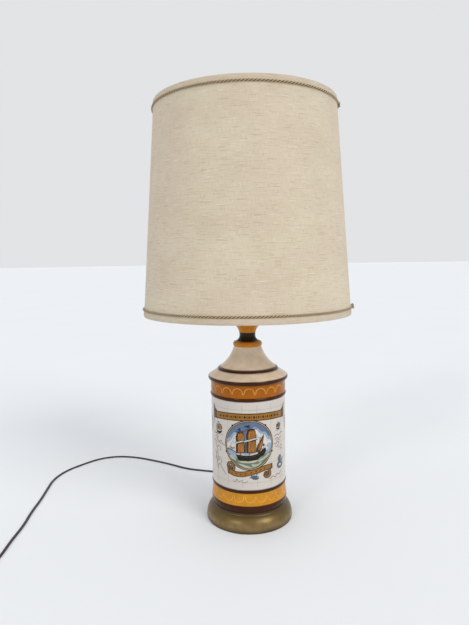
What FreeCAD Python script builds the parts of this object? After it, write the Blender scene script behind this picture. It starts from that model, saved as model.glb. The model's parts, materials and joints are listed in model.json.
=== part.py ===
import FreeCAD
import Part

import math
import os

import Sketcher
from FreeCAD import Placement, Rotation, Vector

# Ceramic table lamp with a spun brass base, a harp and a drum shade.
# Millimetres. +Z is up, the origin is the centre of the base's underside,
# and the lamp's axis is the Z axis. The cord leaves at the back, towards +Y.

DRIVING_DIMENSIONS = {
    "brass base": {
        "base_radius": 87.3,
        "base_belly": 0.4,
        "base_belly_height": 6.0,
        "base_flare_start": 11.0,
        "base_flare_end": 30.0,
        "base_pinch_radius": 74.8,
        "base_deck_height": 35.5,
        "base_wall": 1.6,
        "pad_thickness": 1.2,
        "cord_hole_height": 9.0,
        "cord_hole_radius": 4.6,
    },
    "ceramic body": {
        "ceramic_wall": 5.0,
        "foot_radius": 74.8,
        "skirt_radius": 76.5,
        "foot_ring_top": 51.0,
        "low_band_radius": 74.2,
        "low_band_top": 74.5,
        "low_ring_radius": 75.7,
        "low_ring_top": 82.3,
        "drum_radius": 74.6,
        "drum_top": 254.6,
        "high_ring_radius": 76.4,
        "high_ring_top": 262.2,
        "high_band_radius": 75.0,
        "high_band_top": 287.0,
        "shoulder_radius": 80.2,
        "shoulder_top": 295.4,
        "step_radius": 61.0,
        "step_bottom": 306.3,
        "step_top": 311.9,
        "bell_radius": 56.4,
        "bell_top_radius": 27.6,
        "bell_top": 352.4,
        "collar_radius": 29.3,
        "collar_top": 361.8,
        "waist_radius": 15.9,
        "waist_height": 374.0,
        "cup_radius": 30.0,
        "ceramic_top": 402.0,
    },
    "stem": {
        "pipe_radius": 4.85,
        "pipe_bore_radius": 3.2,
        "pipe_bottom": 22.0,
        "pipe_top": 486.0,
        "vase_cap_radius": 24.0,
        "vase_cap_height": 5.0,
        "riser_radius": 7.0,
        "riser_top": 474.0,
        "nut_flat_radius": 7.1,
        "nut_height": 5.0,
        "fit_gap": 0.1,
        "flat_washer_radius": 19.0,
        "lock_washer_radius": 9.2,
        "washer_thickness": 1.6,
    },
    "harp": {
        "harp_wire_radius": 2.0,
        "harp_leg_spread": 35.5,
        "harp_belly_spread": 57.0,
        "harp_leg_bottom": 494.3,
        "harp_top": 805.0,
        "saddle_thickness": 2.0,
        "saddle_width": 10.0,
        "saddle_shoulder": 487.0,
        "sleeve_radius": 3.6,
        "sleeve_length": 16.0,
        "harp_eye_radius": 6.5,
        "harp_eye_bore": 2.2,
        "stud_rivet_radius": 2.12,
        "stud_radius": 3.05,
        "stud_length": 16.0,
        "stud_flange_radius": 8.0,
        "stud_flange_height": 2.0,
    },
    "socket": {
        "socket_floor": 480.0,
        "socket_cap_radius": 17.0,
        "socket_cap_top": 499.0,
        "shell_radius": 16.2,
        "shell_bottom": 495.0,
        "shell_top": 536.0,
        "switch_height": 505.0,
        "switch_stem_radius": 2.2,
        "switch_stem_start": 5.0,
        "switch_stem_end": 31.0,
        "screw_shell_radius": 13.9,
        "knob_radius": 6.5,
        "knob_start": 27.0,
        "knob_length": 17.0,
    },
    "bulb": {
        "bulb_tip": 513.4,
        "bulb_length": 110.0,
        "bulb_radius": 30.0,
        "bulb_base_radius": 13.0,
        "glass_wall": 0.7,
    },
    "shade": {
        "shade_bottom_radius": 203.2,
        "shade_top_radius": 174.2,
        "shade_bottom": 418.6,
        "shade_top": 819.0,
        "liner_thickness": 0.8,
        "fabric_thickness": 0.8,
        "tape_width": 13.0,
        "tape_thickness": 0.7,
        "braid_width": 4.4,
        "braid_thickness": 2.4,
        "ring_wire_radius": 1.6,
        "spider_wire_radius": 1.7,
        "hub_radius": 12.0,
        "hub_thickness": 1.6,
        "finial_gap": 2.1,
        "finial_foot_radius": 5.6,
        "finial_neck_radius": 2.6,
        "finial_ball_radius": 8.5,
        "finial_ball_height": 13.5,
        "finial_tip_radius": 3.7,
        "finial_tip_height": 25.5,
        "finial_bore_depth": 12.0,
    },
    "cord": {
        "cord_radius": 2.8,
        "coil_mean_radius": 31.0,
        "coil_half_width": 6.4,
        "coil_height": 7.0,
        "plug_length": 30.0,
        "plug_width": 23.0,
        "plug_thickness": 13.0,
        "blade_length": 17.0,
        "blade_width": 6.3,
        "blade_thickness": 1.5,
        "blade_spacing": 12.7,
    },
}

# The cord's route, from the strain relief behind the base to its coil.
CORD_ROUTE = [
    (0, 111, 9.0),
    (-3, 150, 5.0),
    (-22, 184, 2.8),
    (-58, 204, 2.8),
    (-104, 216, 2.8),
    (-151, 230, 2.8),
    (-199, 263, 2.8),
    (-247, 290, 2.8),
    (-296, 313, 2.8),
    (-345, 321, 2.8),
    (-390, 306, 2.8),
    (-424, 269, 2.8),
    (-455, 228, 2.8),
    (-469, 178, 2.8),
    (-465, 124, 2.8),
    (-460, 68, 2.8),
    (-459, 12, 2.8),
    (-453, -44, 2.8),
    (-454, -100, 2.8),
    (-451, -152, 2.8),
    (-456, -203, 2.8),
]
COIL_CENTRE = Vector(-490, -215, 0)
PLUG_CORD_END = Vector(-525.5, -201, 0)
PLUG_TURN = 4.0
ARC_SHARE = 0.45


class Size:
    """A length that carries both its number and the sheet expression behind it."""

    def __init__(self, value, text):
        self.value = float(value)
        self.text = text

    def joined(self, other, sign, value):
        return Size(value, f"({self.text} {sign} {as_size(other).text})")

    def __add__(self, other):
        return self.joined(other, "+", self.value + as_size(other).value)

    def __sub__(self, other):
        return self.joined(other, "-", self.value - as_size(other).value)

    def __mul__(self, other):
        return self.joined(other, "*", self.value * as_size(other).value)

    def __truediv__(self, other):
        return self.joined(other, "/", self.value / as_size(other).value)


def as_size(amount):
    if isinstance(amount, Size):
        return amount
    return Size(amount, f"{float(amount):.6f}")


def make_sheet(doc):
    """Fills the spreadsheet and returns its cells as sizes, by alias."""
    sheet = doc.addObject("Spreadsheet::Sheet", "dims")
    sizes = {}
    row = 1
    for group, cells in DRIVING_DIMENSIONS.items():
        sheet.set(f"A{row}", group)
        row += 1
        for alias, value in cells.items():
            sheet.set(f"A{row}", alias)
            sheet.set(f"B{row}", str(value))
            sheet.setAlias(f"B{row}", alias)
            sizes[alias] = Size(value, f"dims.{alias}")
            row += 1
    doc.recompute()
    return sizes


doc = FreeCAD.newDocument("table_lamp")
D = make_sheet(doc)
nodes = []


# ---------------------------------------------------------------- helpers


def keep(thing, label):
    """Marks an object as one sub-part of the lamp."""
    thing.Label = label
    nodes.append(thing)
    return thing


def bind(thing, **amounts):
    for name, amount in amounts.items():
        thing.setExpression(name, as_size(amount).text)


def lift_to(thing, x=0, y=0, z=0):
    for name, amount in (("x", x), ("y", y), ("z", z)):
        thing.setExpression(f"Placement.Base.{name}", as_size(amount).text)


def plane_of(body, role):
    return next(f for f in body.Origin.OriginFeatures if f.Role == role)


def new_sketch(body, name, role):
    sketch = body.newObject("Sketcher::SketchObject", name)
    sketch.AttachmentSupport = (plane_of(body, role), [""])
    sketch.MapMode = "FlatFace"
    return sketch


def pin_point(sketch, curve, end, across, up):
    """Fixes a sketch point by its two distances from the origin."""
    for kind, axis, amount in (("DistanceX", -2, across), ("DistanceY", -1, up)):
        amount = as_size(amount)
        if amount.value == 0:
            sketch.addConstraint(Sketcher.Constraint("PointOnObject", curve, end, axis))
            continue
        index = sketch.addConstraint(
            Sketcher.Constraint(kind, -1, 1, curve, end, amount.value)
        )
        sketch.setExpression(f"Constraints[{index}]", amount.text)


def draw_outline(sketch, corners):
    """Draws a closed outline through corners.

    A corner is (across, up); with two more values, (across, up, via_across, via_up),
    an arc through that via point leads on to the next corner.
    """
    points = [[as_size(value) for value in corner] for corner in corners]
    ends = []
    for index, point in enumerate(points):
        after = points[(index + 1) % len(points)]
        start = Vector(point[0].value, point[1].value, 0)
        finish = Vector(after[0].value, after[1].value, 0)
        if len(point) == 2:
            curve = sketch.addGeometry(Part.LineSegment(start, finish), False)
        else:
            via = Vector(point[2].value, point[3].value, 0)
            curve = sketch.addGeometry(Part.Arc(start, via, finish), False)
            mark = sketch.addGeometry(Part.Point(via), True)
            pin_point(sketch, mark, 1, point[2], point[3])
            sketch.addConstraint(Sketcher.Constraint("PointOnObject", mark, 1, curve))
        forward = sketch.getPoint(curve, 1).distanceToPoint(start) < 1e-6
        ends.append((curve, (1, 2) if forward else (2, 1)))
    for index, (curve, (first, _)) in enumerate(ends):
        before, (_, last) = ends[index - 1]
        sketch.addConstraint(Sketcher.Constraint("Coincident", before, last, curve, first))
        pin_point(sketch, curve, first, points[index][0], points[index][1])


def turned(label, corners):
    """A body turned about the Z axis from an outline of (radius, height) corners."""
    body = doc.addObject("PartDesign::Body", label)
    sketch = new_sketch(body, f"{label}_outline", "XZ_Plane")
    draw_outline(sketch, corners)
    turn = body.newObject("PartDesign::Revolution", f"{label}_turn")
    turn.Profile = sketch
    turn.ReferenceAxis = (sketch, ["V_Axis"])
    turn.Angle = 360
    body.Tip = turn
    return keep(body, label)


def disc_ring(label, outer, inner, bottom, top):
    return turned(label, [(inner, bottom), (outer, bottom), (outer, top), (inner, top)])


def drill_across(body, name, radius, height, reach, towards_front):
    """Cuts a round hole through one side of a turned body, along Y."""
    doc.recompute()
    before = body.Shape.Volume
    sketch = new_sketch(body, f"{name}_circle", "XZ_Plane")
    ring = sketch.addGeometry(
        Part.Circle(Vector(0, height.value, 0), Vector(0, 0, 1), as_size(radius).value), False
    )
    pin_point(sketch, ring, 3, 0, height)
    index = sketch.addConstraint(Sketcher.Constraint("Radius", ring, as_size(radius).value))
    sketch.setExpression(f"Constraints[{index}]", as_size(radius).text)
    hole = body.newObject("PartDesign::Pocket", name)
    hole.Profile = sketch
    hole.Reversed = towards_front
    bind(hole, Length=reach)
    body.Tip = hole
    doc.recompute()
    if body.Shape.Volume >= before:
        raise RuntimeError(f"{name} cut nothing")


def cylinder(name, radius, length, x=0, y=0, z=0):
    rod = doc.addObject("Part::Cylinder", name)
    bind(rod, Radius=radius, Height=length)
    lift_to(rod, x, y, z)
    return rod


def box(name, length, width, height, x, y, z):
    """A block centred on x and y, standing on z."""
    block = doc.addObject("Part::Box", name)
    bind(block, Length=length, Width=width, Height=height)
    lift_to(
        block,
        as_size(x) - as_size(length) / 2,
        as_size(y) - as_size(width) / 2,
        z,
    )
    return block


def fuse(name, pieces):
    joined = doc.addObject("Part::MultiFuse", name)
    joined.Shapes = pieces
    joined.Refine = True
    return joined


def cut(name, whole, tool):
    result = doc.addObject("Part::Cut", name)
    result.Base = whole
    result.Tool = tool
    return result


def group(name, pieces):
    """Separate solids that share one node."""
    together = doc.addObject("Part::Compound", name)
    together.Links = pieces
    return together


def shaped(name, shape):
    thing = doc.addObject("Part::Feature", name)
    thing.Shape = shape
    thing.Placement = Placement()
    return thing


def bend_radii(points):
    """The arc radius at each inner point: as large as its two runs allow."""
    radii = []
    for before, here, after in zip(points, points[1:], points[2:]):
        arriving = here - before
        leaving = after - here
        turn = arriving.getAngle(leaving)
        reach = ARC_SHARE * min(arriving.Length, leaving.Length)
        radii.append(reach / math.tan(turn / 2))
    return radii


def route_wire(points):
    """Straight runs joined by tangent arcs."""
    edges = []
    start = points[0]
    for before, here, after in zip(points, points[1:], points[2:]):
        reach = ARC_SHARE * min((here - before).Length, (after - here).Length)
        arrive = here + (before - here).normalize() * reach
        leave = here + (after - here).normalize() * reach
        half_turn = (here - before).getAngle(after - here) / 2
        inward = ((before - here).normalize() + (after - here).normalize()).normalize()
        radius = reach / math.tan(half_turn)
        middle = here + inward * (radius / math.cos(half_turn) - radius)
        edges.append(Part.LineSegment(start, arrive).toShape())
        edges.append(Part.Arc(arrive, middle, leave).toShape())
        start = leave
    edges.append(Part.LineSegment(start, points[-1]).toShape())
    return Part.Wire(edges)


def tube_along(points, radius):
    """A round bar swept along a route."""
    spine = route_wire(points)
    heading = points[1] - points[0]
    section = Part.Wire([Part.Circle(points[0], heading, radius).toShape()])
    sweep = Part.BRepOffsetAPI.MakePipeShell(spine)
    sweep.setFrenetMode(False)
    sweep.add(section)
    sweep.build()
    sweep.makeSolid()
    solid = sweep.shape()
    expected = math.pi * radius**2 * spine.Length
    if abs(solid.Volume - expected) > 0.01 * expected:
        raise RuntimeError(f"swept volume {solid.Volume:.0f}, expected {expected:.0f}")
    return solid


def across_shade(height):
    """The radius of the shade's outer face at a height."""
    share = (as_size(height) - D["shade_bottom"]) / (D["shade_top"] - D["shade_bottom"])
    return D["shade_bottom_radius"] + share * (D["shade_top_radius"] - D["shade_bottom_radius"])


# ------------------------------------------------------------ brass base


def make_base():
    radius = D["base_radius"]
    wall = D["base_wall"]
    pinch = D["base_pinch_radius"]
    deck = D["base_deck_height"]
    flare_start = D["base_flare_start"]
    flare_end = D["base_flare_end"]
    hole = D["pipe_radius"] + 0.2
    shell = turned(
        "brass_base",
        [
            (radius, 0, radius + D["base_belly"], D["base_belly_height"]),
            (radius - 0.2, flare_start, radius - 2.7, flare_start + 8.5),
            (pinch + 0.8, flare_end, pinch + 0.1, flare_end + 1.2),
            (pinch, flare_end + 2.2),
            (pinch, deck - 0.6),
            (pinch - 0.6, deck),
            (hole, deck),
            (hole, deck - wall),
            (pinch - wall, deck - wall),
            (pinch - wall, flare_end - 0.6, radius - 4.6, flare_start + 7.6),
            (radius - wall - 0.3, flare_start - 0.5),
            (radius - wall, 0),
        ],
    )
    drill_across(
        shell, "cord_hole", D["cord_hole_radius"], D["cord_hole_height"], radius + 10, False
    )
    turned(
        "felt_pad",
        [
            (0, 0),
            (radius - wall - 0.3, 0),
            (radius - wall - 0.3, D["pad_thickness"]),
            (0, D["pad_thickness"]),
        ],
    )


def make_grommet():
    """The moulded strain relief in the base's cord hole, tapering towards +Y."""
    bore = D["cord_radius"] + 0.05
    seat = D["base_radius"] - 3
    face = D["base_radius"] + 0.4
    relief = turned(
        "cord_strain_relief",
        [
            (bore, seat),
            (D["cord_hole_radius"] - 0.1, seat),
            (D["cord_hole_radius"] - 0.1, face),
            (D["cord_hole_radius"] + 1.9, face),
            (D["cord_hole_radius"] + 1.9, face + 1.6),
            (D["cord_hole_radius"], face + 2.4),
            (bore + 0.9, face + 23.3),
            (bore, face + 23.3),
        ],
    )
    relief.Placement = Placement(Vector(0, 0, 0), Rotation(Vector(1, 0, 0), -90))
    lift_to(relief, z=D["cord_hole_height"])


# ---------------------------------------------------------- ceramic body


def make_ceramic():
    wall = D["ceramic_wall"]
    bottom = D["base_deck_height"]
    top = D["ceramic_top"]
    cup = D["cup_radius"]
    waist = D["waist_radius"]
    waist_height = D["waist_height"]
    shoulder = D["shoulder_radius"]
    band_top = D["high_band_top"]
    hole = D["pipe_radius"] + 1.2
    outer = [
        (D["foot_radius"] - 1.0, bottom),
        (D["foot_radius"], bottom + 1.2, D["skirt_radius"] - 0.1, bottom + 8),
        (D["skirt_radius"], D["foot_ring_top"], D["low_band_radius"] + 0.7, D["low_band_top"] - 12),
        (D["low_band_radius"], D["low_band_top"], D["low_ring_radius"], D["low_ring_top"] - 4),
        (D["drum_radius"], D["low_ring_top"]),
        (D["drum_radius"], D["drum_top"], D["high_ring_radius"], D["drum_top"] + 3.8),
        (D["high_band_radius"], D["high_ring_top"]),
        (D["high_band_radius"], band_top),
        (shoulder - 1.6, band_top + 0.6, shoulder, band_top + 4.3),
        (shoulder - 1.3, D["shoulder_top"]),
        (D["step_radius"] + 0.6, D["step_bottom"], D["step_radius"] - 0.6, D["step_bottom"] + 2.8),
        (D["bell_radius"], D["step_top"], D["bell_radius"] - 18.6, D["step_top"] + 18.1),
        (D["bell_top_radius"], D["bell_top"], D["collar_radius"], D["bell_top"] + 4.6),
        (D["bell_top_radius"] - 1.0, D["collar_top"]),
        (waist + 9.5, D["collar_top"] + 0.1, waist + 2.7, waist_height - 7.8),
        (waist, waist_height, waist + 2.1, waist_height + 10.5),
        (waist + 8.1, waist_height + 19.4),
        (cup - 1.6, top - 4.4, cup, top - 1.6),
        (cup - 2.0, top),
    ]
    inner = [
        (hole, top),
        (hole, top - wall),
        (cup - 11, top - wall - 1),
        (waist - wall + 1.4, waist_height + 8),
        (waist - wall, waist_height - 2),
        (D["collar_radius"] - 10, D["bell_top"] + 2, D["bell_top_radius"] + 6, D["bell_top"] - 27),
        (D["bell_radius"] - 3.4, D["step_top"] - 8.9),
        (D["drum_radius"] - wall, band_top - 1),
        (D["drum_radius"] - wall, bottom),
    ]
    turned("ceramic_body", outer + inner)


# ------------------------------------------------------------------ stem


def hex_nut(label, bottom, height):
    across_corners = D["nut_flat_radius"] / math.cos(math.pi / 6)
    blank = doc.addObject("Part::Prism", f"{label}_blank")
    blank.Polygon = 6
    bind(blank, Circumradius=across_corners, Height=height)
    lift_to(blank, z=bottom)
    bore = cylinder(f"{label}_bore", D["pipe_radius"] + 0.05, as_size(height) + 2, z=bottom - 1)
    return keep(cut(label, blank, bore), label)


def make_stem():
    hole = D["pipe_radius"] + D["fit_gap"]
    washer = D["washer_thickness"]
    flat_top = D["base_deck_height"] - D["base_wall"]
    lock_top = flat_top - washer
    nut_top = lock_top - washer
    disc_ring("lamp_pipe", D["pipe_radius"], D["pipe_bore_radius"], D["pipe_bottom"], D["pipe_top"])
    disc_ring("base_flat_washer", D["flat_washer_radius"], hole, lock_top, flat_top)
    disc_ring("base_lock_washer", D["lock_washer_radius"], hole, nut_top, lock_top)
    hex_nut("base_nut", nut_top - D["nut_height"], D["nut_height"])
    top = D["ceramic_top"]
    rim = D["vase_cap_radius"]
    cap_top = top + D["vase_cap_height"]
    turned(
        "vase_cap",
        [
            (hole, top),
            (rim - 0.8, top, rim, top + 0.9),
            (rim - 0.6, top + 1.9, rim - 6, top + 3.6),
            (D["riser_radius"] + 3.5, cap_top - 0.4),
            (D["riser_radius"] + 2.5, cap_top),
            (hole, cap_top),
        ],
    )
    disc_ring("riser_tube", D["riser_radius"], hole + 0.2, cap_top, D["riser_top"])
    saddle_bottom = D["socket_floor"] - D["saddle_thickness"]
    hex_nut("stem_nut", D["riser_top"], saddle_bottom - D["riser_top"])


# ------------------------------------------------------------------ harp


def make_saddle():
    thick = D["saddle_thickness"]
    spread = D["harp_leg_spread"]
    floor = D["socket_floor"] - thick
    pieces = [box("saddle_strip", spread * 2 + thick, D["saddle_width"], thick, 0, 0, floor)]
    for side, name in ((-1, "left"), (1, "right")):
        pieces.append(
            box(
                f"saddle_{name}_arm",
                thick,
                D["saddle_width"] - 1,
                D["saddle_shoulder"] - floor,
                spread * side,
                0,
                floor,
            )
        )
        pieces.append(
            cylinder(
                f"saddle_{name}_peg",
                D["harp_wire_radius"] - 0.1,
                D["harp_leg_bottom"] - D["saddle_shoulder"] + 0.7,
                x=spread * side,
                z=D["saddle_shoulder"] - 1,
            )
        )
    blank = fuse("saddle_blank", pieces)
    bore = cylinder("saddle_bore", D["pipe_radius"] + D["fit_gap"], thick + 2, z=floor - 1)
    keep(cut("harp_saddle", blank, bore), "harp_saddle")


def make_harp():
    leg = D["harp_leg_spread"].value
    belly = D["harp_belly_spread"].value
    bottom = D["harp_leg_bottom"].value
    wire = D["harp_wire_radius"].value
    top = D["harp_top"].value - wire
    half = [
        (leg, bottom),
        (leg, bottom + 52),
        (belly - 2, bottom + 112),
        (belly, bottom + 232),
        (belly - 15, top - 12),
        (12, top),
    ]
    route = [Vector(-x, 0, z) for x, z in half] + [Vector(0, 0, top + 0.05)]
    route += [Vector(x, 0, z) for x, z in reversed(half)]
    bar = tube_along(route, wire)
    eye = Part.makeCylinder(D["harp_eye_radius"].value, 2 * wire, Vector(0, 0, top - wire))
    bore = D["harp_eye_bore"].value
    hole = Part.makeCylinder(bore, 2 * wire + 4, Vector(0, 0, top - wire - 2))
    solid = bar.fuse(eye).removeSplitter().cut(hole)
    keep(shaped("harp", solid), "harp")
    sleeve_bore = D["harp_wire_radius"] + 0.3
    for side, name in ((-1, "left"), (1, "right")):
        sleeve = disc_ring(
            f"harp_sleeve_{name}",
            D["sleeve_radius"],
            sleeve_bore,
            D["saddle_shoulder"],
            D["saddle_shoulder"] + D["sleeve_length"],
        )
        lift_to(sleeve, x=D["harp_leg_spread"] * side)


def make_stud():
    """The swivel stud: riveted under the harp's eye, flanged, threaded above."""
    gap = 0.2
    rivet = D["stud_rivet_radius"]
    head_top = D["harp_top"] - D["harp_wire_radius"] * 2 - gap
    flange = D["stud_flange_radius"]
    flange_bottom = D["harp_top"] + gap
    flange_top = D["harp_top"] + D["stud_flange_height"]
    thread = D["stud_radius"]
    tip = D["harp_top"] + D["stud_length"]
    turned(
        "harp_stud",
        [
            (0, head_top - 2.0),
            (rivet + 1.5, head_top - 2.0),
            (rivet + 1.9, head_top),
            (rivet, head_top),
            (rivet, flange_bottom),
            (flange, flange_bottom),
            (flange, flange_top),
            (thread, flange_top),
            (thread, tip - 1.0),
            (thread - 0.8, tip),
            (0, tip),
        ],
    )


# ---------------------------------------------------------------- socket


def make_socket():
    floor = D["socket_floor"]
    cap = D["socket_cap_radius"]
    cap_top = D["socket_cap_top"]
    shell = D["shell_radius"]
    hole = D["pipe_radius"] + D["fit_gap"]
    turned(
        "socket_cap",
        [
            (hole, floor),
            (8.5, floor),
            (8.5, floor + 4, 12.5, floor + 5.6),
            (cap - 0.4, floor + 12, cap, floor + 13.5),
            (cap, floor + 15),
            (cap, cap_top),
            (shell + 0.05, cap_top),
            (shell + 0.05, floor + 13.5, 12.0, floor + 6.8),
            (8.0, floor + 6.0),
            (hole, floor + 6.0),
        ],
    )
    lip = shell - 1.6
    metal = turned(
        "socket_shell",
        [
            (shell - 0.5, D["shell_bottom"]),
            (shell, D["shell_bottom"]),
            (shell, D["shell_top"] - 4),
            (shell - 0.7, D["shell_top"] - 3),
            (shell - 0.7, D["shell_top"] - 2),
            (shell, D["shell_top"] - 1.2, shell - 0.3, D["shell_top"] - 0.2),
            (lip, D["shell_top"]),
            (lip, D["shell_top"] - 0.6),
            (shell - 1.3, D["shell_top"] - 1.6),
            (shell - 1.3, D["shell_top"] - 3.4),
            (shell - 0.5, D["shell_top"] - 4.6),
        ],
    )
    sleeve = disc_ring(
        "insulating_sleeve",
        shell - 0.55,
        shell - 1.2,
        D["shell_bottom"] + 1,
        D["shell_top"] - 5,
    )
    switch_hole = D["switch_stem_radius"] + 1.0
    for body, name in ((metal, "shell_switch_hole"), (sleeve, "sleeve_switch_hole")):
        drill_across(body, name, switch_hole, D["switch_height"], shell + 5, True)
    core_bottom = D["shell_bottom"] + 2
    core_top = D["bulb_tip"] - 1.4
    core = cylinder("socket_core_round", shell - 1.3, core_top - core_bottom, z=core_bottom)
    terminal_face = 11.4
    for side, name in ((-1, "left"), (1, "right")):
        flat = box(
            f"socket_core_{name}_flat",
            8,
            40,
            core_top - core_bottom - 3,
            (terminal_face + 4) * side,
            0,
            core_bottom - 1,
        )
        core = cut(f"socket_core_{name}", core, flat)
    way = D["switch_stem_radius"] + 0.2
    stem_way = cylinder("socket_stem_way", way, 30, y=-4, z=D["switch_height"])
    stem_way.Placement.Rotation = Rotation(Vector(1, 0, 0), 90)
    keep(cut("socket_interior", core, stem_way), "socket_interior")
    screw = D["screw_shell_radius"]
    disc_ring("screw_shell", screw, screw - 0.5, core_top, D["shell_top"] - 2)
    turned(
        "centre_contact",
        [(0, core_top), (5, core_top), (4, core_top + 0.6), (2.6, core_top + 1.2), (0, core_top + 1.2)],
    )
    heads = []
    for side, name in ((-1, "left"), (1, "right")):
        head = cylinder(
            f"terminal_{name}",
            3.0,
            1.8,
            x=as_size(terminal_face if side > 0 else -terminal_face - 1.8),
            z=D["switch_height"] - 1,
        )
        head.Placement.Rotation = Rotation(Vector(0, 1, 0), 90)
        heads.append(head)
    keep(group("terminal_screws", heads), "terminal_screws")


def make_switch():
    thick = D["switch_stem_radius"]
    stem = disc_ring("switch_stem", thick, 0, D["switch_stem_start"], D["switch_stem_end"])
    knob = D["knob_radius"]
    bore = thick + 0.05
    socket_end = D["switch_stem_end"] + 0.1
    start = D["knob_start"]
    finish = start + D["knob_length"]
    grip = turned(
        "switch_knob",
        [
            (bore, start),
            (knob - 2.0, start),
            (knob - 1.4, start + 3.5),
            (knob, start + 5.0),
            (knob, finish - 1.4, knob - 0.4, finish - 0.4),
            (knob - 1.4, finish),
            (0, finish),
            (0, socket_end),
            (bore, socket_end),
        ],
    )
    for piece in (stem, grip):
        piece.Placement = Placement(Vector(0, 0, 0), Rotation(Vector(1, 0, 0), 90))
        lift_to(piece, z=D["switch_height"])


def make_bulb():
    tip = D["bulb_tip"]
    base = D["bulb_base_radius"]
    ball = D["bulb_radius"]
    top = tip + D["bulb_length"]
    centre = top - ball
    wall = D["glass_wall"]
    base_top = tip + 26
    turned("bulb_contact", [(0, tip), (3.2, tip, 4.6, tip + 0.7), (4.8, tip + 1.6), (0, tip + 1.6)])
    turned(
        "bulb_insulator",
        [(0, tip + 1.6), (4.8, tip + 1.6), (base - 2.6, tip + 5.0), (0, tip + 5.0)],
    )
    thread_pitch = 3.6
    thread_turns = 5
    ridge = [(base - 2.6, tip + 5.0), (base - 1.0, tip + 5.6)]
    for turn in range(thread_turns):
        foot = tip + (5.8 + turn * thread_pitch)
        ridge.append((base - 1.0, foot, base, foot + thread_pitch / 2))
    ridge += [
        (base - 1.0, tip + (5.8 + thread_turns * thread_pitch)),
        (base, base_top - 1.4),
        (base, base_top),
    ]
    inside = [(base - 1.5, base_top), (base - 1.5, tip + 6.4), (base - 2.6, tip + 6.4)]
    turned("bulb_screw_base", ridge + inside)
    neck = base - 1.6
    slant = math.sqrt(0.5)
    pole = 1.2
    turned(
        "bulb_glass",
        [
            (neck, base_top - 3),
            (neck, base_top + 1, neck + 3.2, base_top + 16),
            (ball * slant + 1.5, centre - ball * slant - 1.5, ball - 1.2, centre - 9.5),
            (ball, centre, ball * slant, centre + ball * slant),
            (pole, top - 0.05),
            (0, top - 0.05),
            (0, top - wall),
            (pole, top - wall, (ball - wall) * slant, centre + (ball - wall) * slant),
            (ball - wall, centre, ball - wall - 1.2, centre - 9.5),
            (
                ball * slant + 1.5 - wall,
                centre - ball * slant - 1.0,
                neck + 3.2 - wall,
                base_top + 16,
            ),
            (neck - wall, base_top + 1),
            (neck - wall, base_top - 3),
        ],
    )
    turned(
        "bulb_stem",
        [
            (0, base_top - 6),
            (9, base_top - 6),
            (3.2, base_top + 6),
            (2.2, base_top + 26),
            (3.4, base_top + 28),
            (0, base_top + 28),
        ],
    )
    filament_height = base_top.value + 42
    posts = []
    for side in (-1, 1):
        post = [
            Vector(1.6 * side, 0, base_top.value + 26),
            Vector(3.4 * side, 0, base_top.value + 33),
            Vector(9.0 * side, 0, filament_height),
        ]
        posts.append(tube_along(post, 0.4))
    coil = Part.makeCylinder(0.7, 18.8, Vector(-9.4, 0, filament_height), Vector(1, 0, 0))
    keep(shaped("bulb_filament", posts[0].fuse([posts[1], coil])), "bulb_filament")


# ----------------------------------------------------------------- shade


def cone_shell(label, low, high, stand_off, thickness):
    """A conical skin that lies stand_off outside the shade's outer face."""
    inner_low = across_shade(low) + stand_off
    inner_high = across_shade(high) + stand_off
    turned(
        label,
        [
            (inner_low, low),
            (inner_low + thickness, low),
            (inner_high + thickness, high),
            (inner_high, high),
        ],
    )


def ring(label, radius, wire, height):
    hoop = doc.addObject("Part::Torus", label)
    bind(hoop, Radius1=radius, Radius2=wire)
    lift_to(hoop, z=height)
    return keep(hoop, label)


def make_shade():
    bottom = D["shade_bottom"]
    top = D["shade_top"]
    fabric = D["fabric_thickness"]
    liner = D["liner_thickness"]
    tape = D["tape_thickness"]
    width = D["tape_width"]
    cone_shell("shade_liner", bottom, top, as_size(0) - fabric - liner, liner)
    cone_shell("shade_fabric", bottom, top, as_size(0) - fabric, fabric)
    low_braid = bottom + width
    high_braid = top - width + 2
    cone_shell("bottom_tape", bottom, low_braid + 2.3, 0, tape)
    cone_shell("top_tape", high_braid - 2.3, top, 0, tape)
    half = D["braid_width"] / 2
    for label, height in (("bottom_braid", low_braid), ("top_braid", high_braid)):
        cone_shell(label, height - half, height + half, tape, D["braid_thickness"])
    wire = D["ring_wire_radius"]
    inset = fabric + liner + wire
    ring("shade_bottom_ring", across_shade(bottom + wire) - inset - 0.1, wire, bottom + wire)
    ring("shade_top_ring", across_shade(top - wire) - inset - 0.1, wire, top - wire)


def make_spider():
    """The washer-and-wire fitter that carries the shade's top ring."""
    wire = D["spider_wire_radius"].value
    seat = (D["harp_top"] + D["stud_flange_height"]).value
    thick = D["hub_thickness"].value
    skins = D["fabric_thickness"] + D["liner_thickness"]
    rim_radius = (D["shade_top_radius"] - skins - D["ring_wire_radius"]).value
    rim_height = (D["shade_top"] - D["ring_wire_radius"]).value
    arm_height = seat + wire + 0.1
    root = 5.5
    rise_starts = rim_radius - 46
    rise_ends = rim_radius - 16
    arm = tube_along(
        [
            Vector(root, 0, arm_height),
            Vector(rise_starts, 0, arm_height + 0.4),
            Vector(rise_ends, 0, rim_height - 2),
            Vector(rim_radius - 0.6, 0, rim_height),
        ],
        wire,
    )
    hub = Part.makeCylinder(D["hub_radius"].value, thick, Vector(0, 0, seat))
    arms = [arm.rotated(Vector(), Vector(0, 0, 1), angle) for angle in (90, 210, 330)]
    bore = D["stud_radius"].value + 0.35
    hole = Part.makeCylinder(bore, 20, Vector(0, 0, seat - 5))
    solid = hub.fuse(arms).cut(hole)
    keep(shaped("shade_spider", solid), "shade_spider")


def ball_corners(centre, radius, lowest, highest):
    """Outline corners up one side of a ball on the axis, between two angles in degrees."""
    facets = 10
    step = (highest - lowest) / facets
    angles = [math.radians(lowest + step * index) for index in range(facets + 1)]
    return [(radius * math.cos(angle), centre + radius * math.sin(angle)) for angle in angles]


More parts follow.
